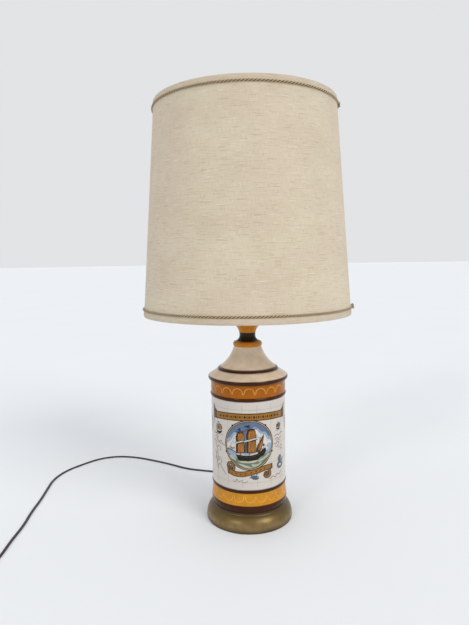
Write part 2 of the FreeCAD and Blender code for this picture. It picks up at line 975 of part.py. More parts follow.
def make_finial():
    """Foot, ball and tip, turned from short facets."""
    seat = D["harp_top"] + D["stud_flange_height"] + D["hub_thickness"] + D["finial_gap"]
    foot = D["finial_foot_radius"]
    neck = D["finial_neck_radius"]
    ball = D["finial_ball_radius"]
    ball_height = seat + D["finial_ball_height"]
    tip = D["finial_tip_radius"]
    tip_height = seat + D["finial_tip_height"]
    bore = D["stud_radius"] + 0.07
    bore_end = seat + D["finial_bore_depth"]
    turned(
        "finial",
        [
            (bore, seat),
            (foot, seat),
            (foot, seat + 2.0),
            (foot - 0.4, seat + 3.0),
            (foot - 1.2, seat + 3.6),
            (foot - 1.2, seat + 5.6),
            *ball_corners(ball_height, ball, -53, 66),
            (neck, ball_height + ball * 0.96),
            (neck, tip_height - tip * 0.74),
            *ball_corners(tip_height, tip, -36, 84),
            (0, tip_height + tip),
            (0, bore_end),
            (bore, bore_end),
        ],
    )


# ------------------------------------------------------------------ cord


def make_inner_cord():
    """The cord's held stretch: from the strain relief to the pipe, and up it."""
    radius = 2.4
    height = D["cord_hole_height"].value
    start = D["base_radius"].value - 3
    low = 5.4
    bend_room = 34.5
    route = [
        Vector(0, start, height),
        Vector(0, start - 30, low + 0.6),
        Vector(0, 0, low),
        Vector(0, 0, low + bend_room),
        Vector(0, 0.3, 250),
        Vector(0, 0, D["pipe_top"].value - 2),
    ]
    keep(shaped("inner_cord", tube_along(route, radius)), "inner_cord")


def make_lead_wires():
    """The two insulated conductors from the pipe to the terminal screws."""
    floor = D["pipe_top"].value - 2
    terminal = D["switch_height"].value - 4.4
    leads = []
    for side in (-1, 1):
        route = [
            Vector(1.2 * side, 0, floor + 0.1),
            Vector(1.6 * side, 0, floor + 4),
            Vector(8.5 * side, 0, floor + 8.6),
            Vector(12.9 * side, 0, floor + 11.5),
            Vector(13.0 * side, 0, terminal),
        ]
        leads.append(shaped(f"lead_{'left' if side < 0 else 'right'}", tube_along(route, 0.9)))
    keep(group("lead_wires", leads), "lead_wires")


def make_power_cord():
    route = [Vector(*point) for point in CORD_ROUTE]
    radius = D["cord_radius"].value
    print("cord bend radii:", [round(r) for r in bend_radii(route)])
    print("cord tube length:", round(route_wire(route).Length))
    keep(shaped("power_cord", tube_along(route, radius)), "power_cord")
    width = D["coil_half_width"]
    mean = D["coil_mean_radius"]
    high = D["coil_height"]
    coil = turned(
        "cord_coil",
        [
            (mean - width, 1.4),
            (mean - width + 1.4, 0),
            (mean + width - 1.4, 0),
            (mean + width, 1.4),
            (mean + width, high - 1.4),
            (mean + width - 1.4, high),
            (mean - width + 1.4, high),
            (mean - width, high - 1.4),
        ],
    )
    coil.Placement = Placement(COIL_CENTRE, Rotation())


def make_plug():
    """A moulded two-blade plug that lies flat, its blades towards +Y."""
    half = D["plug_width"] / 2
    length = D["plug_length"]
    relief = 13.0
    body = doc.addObject("PartDesign::Body", "plug_body")
    sketch = new_sketch(body, "plug_outline", "XY_Plane")
    draw_outline(
        sketch,
        [
            (half - 3.9, 0),
            (half + 3.9, 0),
            (half + 4.6, relief, half + 8.8, relief + 4.5),
            (half * 2, relief + 11),
            (half * 2, length + relief),
            (0, length + relief),
            (0, relief + 11, half - 8.8, relief + 4.5),
            (half - 4.6, relief),
        ],
    )
    pad = body.newObject("PartDesign::Pad", "plug_pad")
    pad.Profile = sketch
    bind(pad, Length=D["plug_thickness"])
    body.Tip = pad
    keep(body, "plug_body")
    blades = []
    for side, name in ((-1, "left"), (1, "right")):
        blades.append(
            box(
                f"blade_{name}",
                D["blade_thickness"],
                D["blade_length"] + 8,
                D["blade_width"],
                half + D["blade_spacing"] / 2 * side,
                length + relief + (D["blade_length"] - 8) / 2,
                D["plug_thickness"] / 2 - D["blade_width"] / 2,
            )
        )
    pair = keep(group("plug_blades", blades), "plug_blades")
    spin = Rotation(Vector(0, 0, 1), PLUG_TURN)
    place = Placement(PLUG_CORD_END - spin.multVec(Vector(half.value, 0, 0)), spin)
    body.Placement = place
    pair.Placement = place


# ------------------------------------------------------------- the whole

make_base()
make_grommet()
make_ceramic()
make_stem()
make_saddle()
make_harp()
make_stud()
make_socket()
make_switch()
make_bulb()
make_shade()
make_spider()
make_finial()
make_inner_cord()
make_lead_wires()
make_power_cord()
make_plug()
doc.recompute()

for thing in doc.Objects:
    if "Invalid" in thing.State or "Error" in thing.State:
        raise RuntimeError(f"{thing.Label} did not build: {thing.State}")

os.makedirs("parts", exist_ok=True)
for node in nodes:
    if node.Shape.isNull() or not node.Shape.isValid():
        raise RuntimeError(f"{node.Label} has no valid shape")
    node.Shape.exportStep(f"parts/{node.Label}.step")
    size = node.Shape.optimalBoundingBox(False, False)
    print(
        f"{node.Label:22s} solids {len(node.Shape.Solids)}"
        f"  z {size.ZMin:7.1f} to {size.ZMax:7.1f}"
        f"  r {max(abs(size.XMin), abs(size.XMax)):6.1f}"
        f"  volume {node.Shape.Volume / 1000:9.2f} cm3"
    )
print(len(nodes), "nodes")
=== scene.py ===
import json
import math
import random

import bpy
from mathutils import Matrix, Vector
from mathutils.bvhtree import BVHTree
from mathutils.geometry import delaunay_2d_cdt


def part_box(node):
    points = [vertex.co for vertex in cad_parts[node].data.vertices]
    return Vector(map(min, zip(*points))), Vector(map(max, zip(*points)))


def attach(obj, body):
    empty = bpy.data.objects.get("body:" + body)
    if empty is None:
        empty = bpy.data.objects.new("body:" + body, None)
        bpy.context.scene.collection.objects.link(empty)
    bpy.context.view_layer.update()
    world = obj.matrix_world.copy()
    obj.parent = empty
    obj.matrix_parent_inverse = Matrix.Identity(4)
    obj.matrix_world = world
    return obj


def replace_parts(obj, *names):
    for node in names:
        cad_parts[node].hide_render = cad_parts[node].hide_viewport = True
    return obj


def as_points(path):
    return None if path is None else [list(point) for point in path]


# Looks for a ceramic table lamp. Metres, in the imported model's frame: +Z up,
# the origin at the centre of the base's underside, the decorated front at -Y.

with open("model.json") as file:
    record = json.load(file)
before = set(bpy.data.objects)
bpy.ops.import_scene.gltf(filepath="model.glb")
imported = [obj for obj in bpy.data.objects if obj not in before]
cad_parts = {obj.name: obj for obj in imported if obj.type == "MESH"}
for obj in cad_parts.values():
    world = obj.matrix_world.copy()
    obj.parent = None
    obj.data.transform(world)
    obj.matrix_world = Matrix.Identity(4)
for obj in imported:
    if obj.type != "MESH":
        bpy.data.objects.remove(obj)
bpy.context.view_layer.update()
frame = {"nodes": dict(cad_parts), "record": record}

MM = 0.001
UP = Vector((0, 0, 1))
TURN = 2 * math.pi


# ------------------------------------------------------------ making pieces


def srgb(red, green, blue):
    """A screen colour, 0 to 255 a channel, as linear light."""

    def linear(level):
        share = level / 255
        return share / 12.92 if share <= 0.04045 else ((share + 0.055) / 1.055) ** 2.4

    return (linear(red), linear(green), linear(blue), 1.0)


def facing(angle):
    """The level direction at an angle round the Z axis from the front."""
    return Vector((math.sin(angle), -math.cos(angle), 0))


def make_piece(name, points, faces, body, materials, inks=None, sharp=40):
    """A smooth-shaded mesh that rides on a body and takes its finish from a slot."""
    mesh = bpy.data.meshes.new(name)
    mesh.from_pydata(points, [], faces)
    for material in materials:
        mesh.materials.append(material)
    if inks:
        mesh.polygons.foreach_set("material_index", inks)
    mesh.shade_smooth()
    mesh.set_sharp_from_angle(angle=math.radians(sharp))
    mesh.update()
    piece = bpy.data.objects.new(name, mesh)
    bpy.context.scene.collection.objects.link(piece)
    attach(piece, body)
    return piece


def grid_faces(rows, columns, row_loop, column_loop):
    """Quads over a rows by columns grid of points, closed on itself where asked."""
    faces = []
    for row in range(rows if row_loop else rows - 1):
        for column in range(columns if column_loop else columns - 1):
            after = (row + 1) % rows * columns
            beside = (column + 1) % columns
            here = row * columns
            faces.append((here + column, here + beside, after + beside, after + column))
    return faces


def turned(angles, outline_at):
    """The closed outline of (radius, height) points at each angle round the Z axis, joined up."""
    outlines = [outline_at(angle) for angle in angles]
    points = []
    for angle, outline in zip(angles, outlines):
        points += [(r * math.sin(angle), -r * math.cos(angle), z) for r, z in outline]
    return points, grid_faces(len(angles), len(outlines[0]), True, True)


def sweep(path, section, up=UP, closed=False):
    """Points and faces of a section of (side, up) points carried along a path."""
    points = []
    last = len(path) - 1
    for index, here in enumerate(path):
        before = path[index - 1] if closed or index else here
        after = path[(index + 1) % len(path)] if closed or index < last else here
        side = (after - before).cross(up).normalized()
        lift = side.cross(after - before).normalized()
        points += [here + side * across + lift * above for across, above in section]
    count = len(section)
    faces = grid_faces(len(path), count, closed, True)
    if not closed:
        faces.append(tuple(range(count)))
        faces.append(tuple(range(last * count + count - 1, last * count - 1, -1)))
    return points, faces


def ring(radius, count):
    """Points round a circle about the origin."""
    return [
        (radius * math.cos(TURN * step / count), radius * math.sin(TURN * step / count))
        for step in range(count)
    ]


def add_part(points, faces, more_points, more_faces):
    """Adds another closed form to a piece's points and faces."""
    start = len(points)
    points.extend(more_points)
    faces.extend(tuple(index + start for index in face) for face in more_faces)


def lofted(stations, count):
    """A closed moulded form along +Y from (along, half width, half height, squareness)."""
    points = []
    for along, wide, high, square in stations:
        for step in range(count):
            angle = TURN * step / count
            across = math.copysign(abs(math.cos(angle)) ** (2 / square), math.cos(angle))
            above = math.copysign(abs(math.sin(angle)) ** (2 / square), math.sin(angle))
            points.append(Vector((wide * across, along, high * above)))
    faces = grid_faces(len(stations), count, False, True)
    faces.append(tuple(range(count)))
    end = len(points)
    faces.append(tuple(range(end - 1, end - count - 1, -1)))
    return points, faces


def through(points, smoothness=6, closed=False):
    """A soft curve through flat points, as a denser list of points."""
    found = []
    count = len(points)
    spans = count if closed else count - 1
    for index in range(spans):
        near = [
            Vector(points[(index + k) % count if closed else min(max(index + k, 0), count - 1)])
            for k in (-1, 0, 1, 2)
        ]
        for step in range(smoothness):
            share = step / smoothness
            found.append(
                0.5
                * (
                    2 * near[1]
                    + (near[2] - near[0]) * share
                    + (2 * near[0] - 5 * near[1] + 4 * near[2] - near[3]) * share**2
                    + (3 * near[1] - near[0] - 3 * near[2] + near[3]) * share**3
                )
            )
    if not closed:
        found.append(Vector(points[-1]))
    return found


# ------------------------------------------------------------ making materials


class Finish:
    """A material whose colour, roughness and relief come from its nodes."""

    def __init__(self, name, **shader_values):
        self.material = bpy.data.materials.new(name)
        self.material.use_nodes = True
        self.tree = self.material.node_tree
        self.shader = self.tree.nodes["Principled BSDF"]
        for title, value in shader_values.items():
            self.shader.inputs[title.replace("_", " ")].default_value = value
        self.place = self.add("TexCoord").outputs["Object"]

    def add(self, kind, **settings):
        node = self.tree.nodes.new("ShaderNode" + kind)
        for name, value in settings.items():
            setattr(node, name, value)
        return node

    def feed(self, socket, value):
        if isinstance(value, bpy.types.NodeSocket):
            self.tree.links.new(value, socket)
        else:
            socket.default_value = value

    def calc(self, operation, *amounts):
        node = self.add("Math", operation=operation)
        for socket, amount in zip(node.inputs, amounts):
            self.feed(socket, amount)
        return node.outputs[0]

    def parts(self, vector=None):
        node = self.add("SeparateXYZ")
        self.feed(node.inputs[0], vector or self.place)
        return node.outputs

    def around(self, radius):
        """(distance round the Z axis from the front, height, 0), in metres."""
        x, y, z = self.parts()
        angle = self.calc("ARCTAN2", x, self.calc("MULTIPLY", y, -1.0))
        joined = self.add("CombineXYZ")
        self.feed(joined.inputs[0], self.calc("MULTIPLY", angle, radius))
        self.feed(joined.inputs[1], z)
        return joined.outputs[0]

    def scaled(self, scale, vector=None):
        node = self.add("Mapping")
        self.feed(node.inputs["Vector"], vector or self.place)
        node.inputs["Scale"].default_value = scale
        return node.outputs[0]

    def noise(self, scale, detail=3.0, vector=None):
        """Noise whose scale is in waves a metre, as one number or one for each axis."""
        node = self.add("TexNoise")
        node.inputs["Detail"].default_value = detail
        stretch = scale if isinstance(scale, tuple) else (scale, scale, scale)
        node.inputs["Scale"].default_value = 1.0
        self.feed(node.inputs["Vector"], self.scaled(stretch, vector))
        return node.outputs["Fac"]

    def specks(self, scale):
        """Distance from scattered points, with that many cells a metre."""
        node = self.add("TexVoronoi")
        node.inputs["Scale"].default_value = scale
        self.feed(node.inputs["Vector"], self.place)
        return node.outputs["Distance"]

    def wave(self, length, value):
        """A wave from 0 to 1 with that length in metres along a value."""
        swing = self.calc("SINE", self.calc("MULTIPLY", value, TURN / length))
        return self.calc("MULTIPLY_ADD", swing, 0.5, 0.5)

    def ramp(self, value, stops):
        """Turns a value into the greys or colours of (position, level) stops."""
        node = self.add("ValToRGB")
        elements = node.color_ramp.elements
        while len(elements) < len(stops):
            elements.new(1.0)
        for element, (position, colour) in zip(elements, stops):
            element.position = position
            element.color = colour if isinstance(colour, tuple) else (colour, colour, colour, 1)
        self.feed(node.inputs[0], value)
        return node.outputs[0]

    def spread(self, value, low, high, from_low=0.3, from_high=0.7):
        """Maps the middle of a noise onto low to high."""
        node = self.add("MapRange")
        for socket, amount in zip(node.inputs, (value, from_low, from_high, low, high)):
            self.feed(socket, amount)
        return node.outputs[0]

    def mix(self, share, first, second, blend="MIX"):
        node = self.add("Mix", data_type="RGBA", blend_type=blend)
        colours = [socket for socket in node.inputs if socket.type == "RGBA"]
        self.feed(node.inputs[0], share)
        self.feed(colours[0], first)
        self.feed(colours[1], second)
        return next(socket for socket in node.outputs if socket.type == "RGBA")

    def clouded(self, value, light, dark):
        """Two colours shared out by the middle of a noise."""
        return self.mix(self.spread(value, 0.0, 1.0), light, dark)

    def finish(self, colour, roughness, relief=None, depth=0):
        """Joins colour, roughness and a relief of that depth to the shader."""
        self.feed(self.shader.inputs["Base Color"], colour)
        self.feed(self.shader.inputs["Roughness"], roughness)
        if relief is not None:
            bump = self.add("Bump")
            bump.inputs["Distance"].default_value = depth
            self.feed(bump.inputs["Height"], relief)
            self.feed(self.shader.inputs["Normal"], bump.outputs[0])
        return self.material


# ------------------------------------------------------------ camera


def make_camera():
    """Stands 1.03 m in front of the lamp, a little above its middle, tipped a little down."""
    place = (-0.0253, -1.0334, 0.5241)
    degrees_down = 5.8
    degrees_rolled = -0.83
    data = bpy.data.cameras.new("camera")
    data.lens = 29.9
    data.sensor_width = 36.0
    camera = bpy.data.objects.new("camera", data)
    tilt = Matrix.Rotation(math.radians(90 - degrees_down), 4, "X")
    roll = Matrix.Rotation(math.radians(degrees_rolled), 4, "Z")
    camera.matrix_world = Matrix.Translation(place) @ tilt @ roll
    bpy.context.scene.collection.objects.link(camera)
    bpy.context.scene.camera = camera
    bpy.context.scene.view_settings.view_transform = "Standard"


# ------------------------------------------------------------ cord and plug

CORD_WIDTH = 5.6 * MM
CORD_THICKNESS = 2.8 * MM
CORD_EXIT = (0, 0.111, 0.009)
CORD_ROUTE = [
    CORD_EXIT,
    (-0.003, 0.150, 0.005),
    (-0.022, 0.184, 0.0016),
    (-0.058, 0.204, 0.0014),
    (-0.104, 0.216, 0.0014),
    (-0.151, 0.230, 0.0014),
    (-0.199, 0.263, 0.0014),
    (-0.247, 0.290, 0.0014),
    (-0.296, 0.313, 0.0014),
    (-0.345, 0.321, 0.0014),
    (-0.390, 0.306, 0.0014),
    (-0.424, 0.269, 0.0014),
    (-0.455, 0.228, 0.0014),
    (-0.469, 0.178, 0.0014),
    (-0.465, 0.124, 0.0014),
    (-0.460, 0.068, 0.0014),
    (-0.459, 0.012, 0.0014),
    (-0.453, -0.044, 0.0014),
    (-0.454, -0.100, 0.0014),
    (-0.451, -0.152, 0.0014),
    (-0.456, -0.203, 0.0018),
]
COIL_CENTRE = Vector((-0.490, -0.215, 0))
PLUG_ENTRY = Vector((-0.5255, -0.201, 0.0065))
PLUG_TURN = math.radians(4)
TIE_THICKNESS = 0.3 * MM


def coil_points():
    """Three and a half clockwise turns: outer, inner, inner above, outer above."""
    outer = 34.2 * MM
    inner = outer - CORD_WIDTH
    low = TIE_THICKNESS + CORD_THICKNESS / 2
    high = low + CORD_THICKNESS
    points_per_turn = 16
    change = 0.2
    # The spline runs inside its control points by this share of their radius.
    spline_share = 0.981

    def moved(turns, start):
        """0 before a change of lay that starts after so many turns, and 1 after it."""
        return min(max((turns - start) / change, 0), 1)

    points = []
    for step in range(1, points_per_turn * 7 // 2):
        turns = step / points_per_turn
        inwards = moved(turns, 0.9) - moved(turns, 2.9)
        radius = (outer + (inner - outer) * inwards) / spline_share
        angle = -TURN * turns
        height = low + (high - low) * moved(turns, 1.9)
        points.append(
            COIL_CENTRE + Vector((radius * math.cos(angle), radius * math.sin(angle), height))
        )
    return points


def cord_line():
    """The cord's centreline, read from a NURBS spline through its route and coil."""
    ahead = Vector((-math.sin(PLUG_TURN), math.cos(PLUG_TURN), 0))
    tail = [
        PLUG_ENTRY + ahead * -9 * MM + UP * -1.4 * MM,
        PLUG_ENTRY + ahead * -4 * MM + UP * -0.3 * MM,
        PLUG_ENTRY + ahead * 4 * MM,
    ]
    controls = [Vector(point) for point in CORD_ROUTE] + coil_points() + tail
    data = bpy.data.curves.new("cord_line", "CURVE")
    data.dimensions = "3D"
    data.resolution_u = 10
    spline = data.splines.new("NURBS")
    spline.points.add(len(controls) - 1)
    for point, place in zip(spline.points, controls):
        point.co = (*place, 1)
    spline.order_u = 3
    spline.use_endpoint_u = True
    guide = bpy.data.objects.new("cord_line", data)
    mesh = bpy.data.meshes.new_from_object(guide)
    line = [vertex.co.copy() for vertex in mesh.vertices]
    bpy.data.objects.remove(guide)
    bpy.data.meshes.remove(mesh)
    return line


def flex_section():
    """Two round insulated conductors side by side with a groove between them."""
    core = CORD_THICKNESS / 2
    apart = (CORD_WIDTH - CORD_THICKNESS) / 2
    points = []
    for side, first in ((1, -128), (-1, 52)):
        for step in range(9):
            angle = math.radians(first + 32 * step)
            points.append((side * apart + core * math.cos(angle), core * math.sin(angle)))
    return points


def vinyl():
    finish = Finish("cord_vinyl_brown", Specular_IOR_Level=0.45)
    grain = finish.noise(900.0, 4.0)
    colour = finish.mix(finish.noise(60.0), srgb(30, 22, 19), srgb(46, 34, 28))
    return finish.finish(colour, finish.spread(grain, 0.36, 0.52), grain, 0.1 * MM)


def make_cord(rubber):
    line = cord_line()
    points, faces = sweep(line, flex_section())
    cord = make_piece("flex", points, faces, "lamp", [rubber])
    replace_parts(cord, "power_cord", "cord_coil")
    return cord, line


def make_relief(rubber):
    """The ribbed strain relief in the base's cord hole."""
    low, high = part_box("cord_strain_relief")
    length = high.y - low.y
    flange = 25.5 * MM
    stations = [
        (0, 3.4 * MM, 3.4 * MM, 2),
        (0.2 * MM, 4.3 * MM, 4.3 * MM, 2),
        (length - flange, 4.3 * MM, 4.3 * MM, 2),
        (length - flange, 6.2 * MM, 6.2 * MM, 2),
        (length - flange + 0.4 * MM, 6.5 * MM, 6.5 * MM, 2),
        (length - flange + 1.5 * MM, 6.5 * MM, 6.5 * MM, 2),
        (length - flange + 2.0 * MM, 6.1 * MM, 6.1 * MM, 2),
    ]
    ribs = 6
    start = length - flange + 2.6 * MM
    pitch = (length - start - 0.6 * MM) / ribs
    for rib in range(ribs):
        share = rib / ribs
        wide = (4.7 - 0.9 * share) * MM
        tall = (4.6 - 2.0 * share) * MM
        waist = 0.6 * MM
        for along, cut in ((0, waist), (0.25, waist), (0.32, 0), (0.9, 0), (0.98, waist)):
            stations.append((start + (rib + along) * pitch, wide - cut, tall - cut, 2.2))
    points, faces = lofted(stations, 40)
    shift = Vector((0, low.y, (low.z + high.z) / 2))
    relief = make_piece(
        "ribbed_relief", [p + shift for p in points], faces, "lamp", [rubber], sharp=50
    )
    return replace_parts(relief, "cord_strain_relief")


def make_plug_body(rubber):
    """A moulded plug: a ribbed sleeve on the cord, then a waisted grip."""
    sleeve = 13.0
    stations = [(0, 3.2, 2.3, 2.2)]
    for rib in range(4):
        start = 0.4 + rib * 3.1
        wide = 3.9 + 0.35 * rib
        tall = 2.9 + 0.3 * rib
        stations += [
            (start, wide, tall, 2.4),
            (start + 1.8, wide, tall, 2.4),
            (start + 2.0, wide - 0.7, tall - 0.7, 2.4),
            (start + 2.9, wide - 0.7, tall - 0.7, 2.4),
        ]
    stations += [
        (sleeve + 0.2, 5.6, 4.3, 2.6),
        (sleeve + 2.4, 7.2, 5.1, 3.0),
        (sleeve + 5.2, 9.6, 5.9, 3.4),
        (sleeve + 8.2, 11.0, 6.2, 3.8),
    ]
    for groove in range(4):
        start = sleeve + 10.2 + groove * 2.7
        stations += [
            (start, 10.9, 6.25, 3.9),
            (start + 0.3, 10.5, 5.8, 3.9),
            (start + 1.1, 10.5, 5.8, 3.9),
            (start + 1.4, 10.9, 6.25, 3.9),
        ]
    stations += [
        (sleeve + 22.5, 11.4, 6.45, 4.2),
        (sleeve + 29.2, 11.4, 6.45, 4.2),
        (sleeve + 30.0, 10.8, 5.9, 4.2),
    ]
    points, faces = lofted([(a * MM, w * MM, h * MM, n) for a, w, h, n in stations], 56)
    place = Matrix.Translation(PLUG_ENTRY) @ Matrix.Rotation(PLUG_TURN, 4, "Z")
    plug = make_piece(
        "moulded_plug", [place @ p for p in points], faces, "lamp", [rubber], sharp=50
    )
    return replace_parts(plug, "plug_body")


def make_coil_ties(material):
    """Two flat paper ties round the coil, their ends twisted together above it."""
    outer = 37.6 * MM
    inner = 25.2 * MM
    top = 6.4 * MM
    half_width = 1.9 * MM
    half_skin = 0.12 * MM
    flat = [
        (-half_skin, -half_width),
        (-half_skin, half_width),
        (half_skin, half_width),
        (half_skin, -half_width),
    ]
    loop_steps = 40
    tail_steps = 24
    tail_length = 14 * MM
    tail_curl = 2 * MM
    ties = []

    def squared(share):
        """Pushes a round loop's sine or cosine out towards a square."""
        return math.copysign(abs(share) ** 0.4, share)

    for name, degrees in (("tie_near", 250), ("tie_far", 75)):
        angle = math.radians(degrees)
        outward = Vector((math.cos(angle), math.sin(angle), 0))
        along = Vector((-math.sin(angle), math.cos(angle), 0))
        middle = COIL_CENTRE + outward * (inner + outer) / 2 + UP * (top / 2 + 0.15 * MM)
        loop = []
        for step in range(loop_steps):
            turn = TURN * step / loop_steps
            across = outward * squared(math.cos(turn)) * (outer - inner) / 2
            above = UP * squared(math.sin(turn)) * top / 2
            loop.append(middle + across + above)
        points, faces = sweep(loop, flat, up=along, closed=True)
        tail = []
        for step in range(tail_steps + 1):
            share = step / tail_steps
            lift = UP * (top / 2 + (share - 0.1) * MM)
            curl = outward * math.sin(share * 3) * tail_curl
            tail.append(middle + lift + along * share * tail_length + curl)
        add_part(points, faces, *sweep(tail, ring(0.5 * MM, 6)))
        ties.append(make_piece(name, points, faces, "lamp", [material]))
    return ties


def make_cord_set():
    rubber = vinyl()
    paper = Finish("tie_paper")
    fibre = paper.noise(700.0, 4.0)
    tie_paint = paper.finish(
        paper.mix(fibre, srgb(214, 208, 192), srgb(236, 232, 220)), 0.75, fibre, 0.1 * MM
    )
    cord, line = make_cord(rubber)
    relief = make_relief(rubber)
    plug = make_plug_body(rubber)
    ties = make_coil_ties(tie_paint)
    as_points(line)


# ------------------------------------------------------------ floor and light


def make_stage():
    """A wide pale floor under an evenly pale surround."""
    reach = 60.0
    count = 96
    height = -0.2 * MM
    points = [(0, 0, height)] + [(x, y, height) for x, y in ring(reach, count)]
    faces = [(0, 1 + k, 1 + (k + 1) % count) for k in range(count)]
    mesh = bpy.data.meshes.new("floor")
    mesh.from_pydata(points, [], faces)
    floor = bpy.data.objects.new("floor", mesh)
    bpy.context.scene.collection.objects.link(floor)
    paper = Finish("floor_paper", Specular_IOR_Level=0.2)
    cloudy = paper.noise(2.0)
    mesh.materials.append(
        paper.finish(paper.mix(cloudy, srgb(234, 237, 240), srgb(238, 241, 244)), 0.7)
    )
    world = bpy.data.worlds.new("surround")
    world.use_nodes = True
    sky = world.node_tree.nodes["Background"]
    sky.inputs["Color"].default_value = srgb(240, 241, 243)
    sky.inputs["Strength"].default_value = 0.88
    bpy.context.scene.world = world


def make_light(name, towards_light, softness, strength, colour):
    """A soft, even light from far off, as many degrees across as its softness."""
    data = bpy.data.lights.new(name, "SUN")
    data.angle = math.radians(softness)
    data.energy = strength
    data.color = colour
    lamp = bpy.data.objects.new(name, data)
    lamp.rotation_euler = (-Vector(towards_light)).to_track_quat("-Z", "Y").to_euler()
    bpy.context.scene.collection.objects.link(lamp)


# ------------------------------------------------------------ metals, plastics


def metal(name, light, dark, rough_low, rough_high):
    """Lacquered sheet metal: cloudy tarnish with fine scratches."""
    finish = Finish(name, Metallic=1.0)
    cloud = finish.noise(30.0, 4.0)
    scratch = finish.noise((240.0, 240.0, 1680.0), 2.0)
    colour = finish.clouded(cloud, light, dark)
    return finish.finish(colour, finish.spread(scratch, rough_low, rough_high), scratch, 0.03 * MM)


def moulded(name, light, dark, rough, grain=900.0):
    finish = Finish(name, Specular_IOR_Level=0.5)
    texture = finish.noise(grain, 3.0)
    colour = finish.mix(finish.noise(grain * 0.08), light, dark)
    return finish.finish(colour, finish.spread(texture, rough - 0.06, rough + 0.08), texture, 0.06 * MM)


def antique_brass():
    """Satin brass that was browned and rubbed back, coloured by height: a dark foot lip that is partly
    browning and partly a painted dark reflection, a painted highlight band low on the flare, and a browned
    darker top.
    """
    finish = Finish("antique_brass", Metallic=1.0, Coat_Weight=0.25, Coat_Roughness=0.25)
    base_radius = 80 * MM
    base_height = 36 * MM
    wander = 0.08
    cloud = finish.noise(22.0, 5.0)
    spun = finish.noise((5.0, 5.0, 1500.0), 2.0, finish.around(base_radius))
    level = finish.calc("DIVIDE", finish.parts()[2], base_height)
    lowered = finish.calc("SUBTRACT", level, wander)
    drift = finish.calc("MULTIPLY_ADD", cloud, 2 * wander, lowered)
    # Painted light among the height bands: the foot lip at 0.0 is darkened as a painted reflection of the
    # dark room, and the bright band from 0.14 to 0.30 is a painted highlight of the floor's reflection.
    tone = finish.ramp(
        drift,
        [
            (0.0, srgb(74, 62, 44)),
            (0.14, srgb(128, 108, 76)),
            (0.30, srgb(158, 132, 90)),
            (0.55, srgb(124, 102, 60)),
            (0.85, srgb(98, 80, 48)),
            (1.0, srgb(58, 44, 30)),
        ],
    )
    rubbed = finish.mix(finish.spread(finish.noise(70.0, 6.0), 0.0, 0.5), tone, srgb(92, 76, 46))
    rough = finish.spread(finish.noise(40.0), 0.36, 0.5)
    return finish.finish(rubbed, rough, spun, 0.02 * MM)


def felt():
    finish = Finish("felt", Sheen_Weight=0.6, Sheen_Roughness=0.6)
    fluff = finish.noise(1400.0, 6.0)
    colour = finish.clouded(fluff, srgb(38, 54, 38), srgb(62, 80, 58))
    return finish.finish(colour, 0.95, fluff, 0.4 * MM)


def bulb_glass():
    finish = Finish("bulb_glass", Transmission_Weight=0.3, IOR=1.45)
    haze = finish.noise(500.0, 2.0)
    return finish.finish(srgb(250, 250, 246), finish.spread(haze, 0.32, 0.42), haze, 0.02 * MM)


def wire_enamel():
    finish = Finish("white_wire", Specular_IOR_Level=0.5)
    runs = finish.noise(160.0, 4.0)
    chips = finish.ramp(finish.specks(420.0), [(0.03, 1.0), (0.06, 0.0)])
    colour = finish.mix(chips, srgb(226, 222, 208), srgb(150, 128, 96))
    return finish.finish(colour, finish.spread(runs, 0.25, 0.45), runs, 0.05 * MM)


def liner_plastic():
    """The shade's glossy white plastic liner, with faint ripples."""
    finish = Finish("shade_liner", Specular_IOR_Level=0.5, Subsurface_Weight=0.1)
    ripple = finish.noise((9.0, 9.0, 3.0), 2.0)
    colour = finish.mix(finish.noise(8.0), srgb(240, 237, 226), srgb(232, 227, 212))
    return finish.finish(colour, finish.spread(ripple, 0.28, 0.42), ripple, 0.6 * MM)


# ------------------------------------------------------------ ceramic glaze

# The glaze's reflections are a little warm.
GLOSS = (1.0, 0.8, 0.6, 1.0)
CREAM = srgb(214, 193, 170)
WHITE = srgb(201, 194, 187)
LOW_AMBER = srgb(194, 131, 32)
# The upper amber band is darker than the lower one, partly in its glaze and partly as painted shade from
# the lampshade above it.
SHADED_HIGH_AMBER = srgb(160, 88, 4)
NECK_AMBER = srgb(192, 120, 28)
BROWN = srgb(54, 22, 6)
BLACK = srgb(26, 16, 12)
# Each band's upper edge, in millimetres, and its colour.
GLAZE_BANDS = [
    (51.0, BROWN),
    (74.6, LOW_AMBER),
    (82.6, BROWN),
    (254.8, WHITE),
    (262.2, BROWN),
    (287.0, SHADED_HIGH_AMBER),
    (295.6, BROWN),
    (306.2, CREAM),
    (312.0, BROWN),
    (352.6, CREAM),
    (362.0, NECK_AMBER),
    (380.0, BLACK),
    (402.0, NECK_AMBER),
]


def glossy(name):
    return Finish(
        name, Specular_IOR_Level=0.24, Specular_Tint=GLOSS, Coat_Weight=0.05, Coat_Roughness=0.05
    )


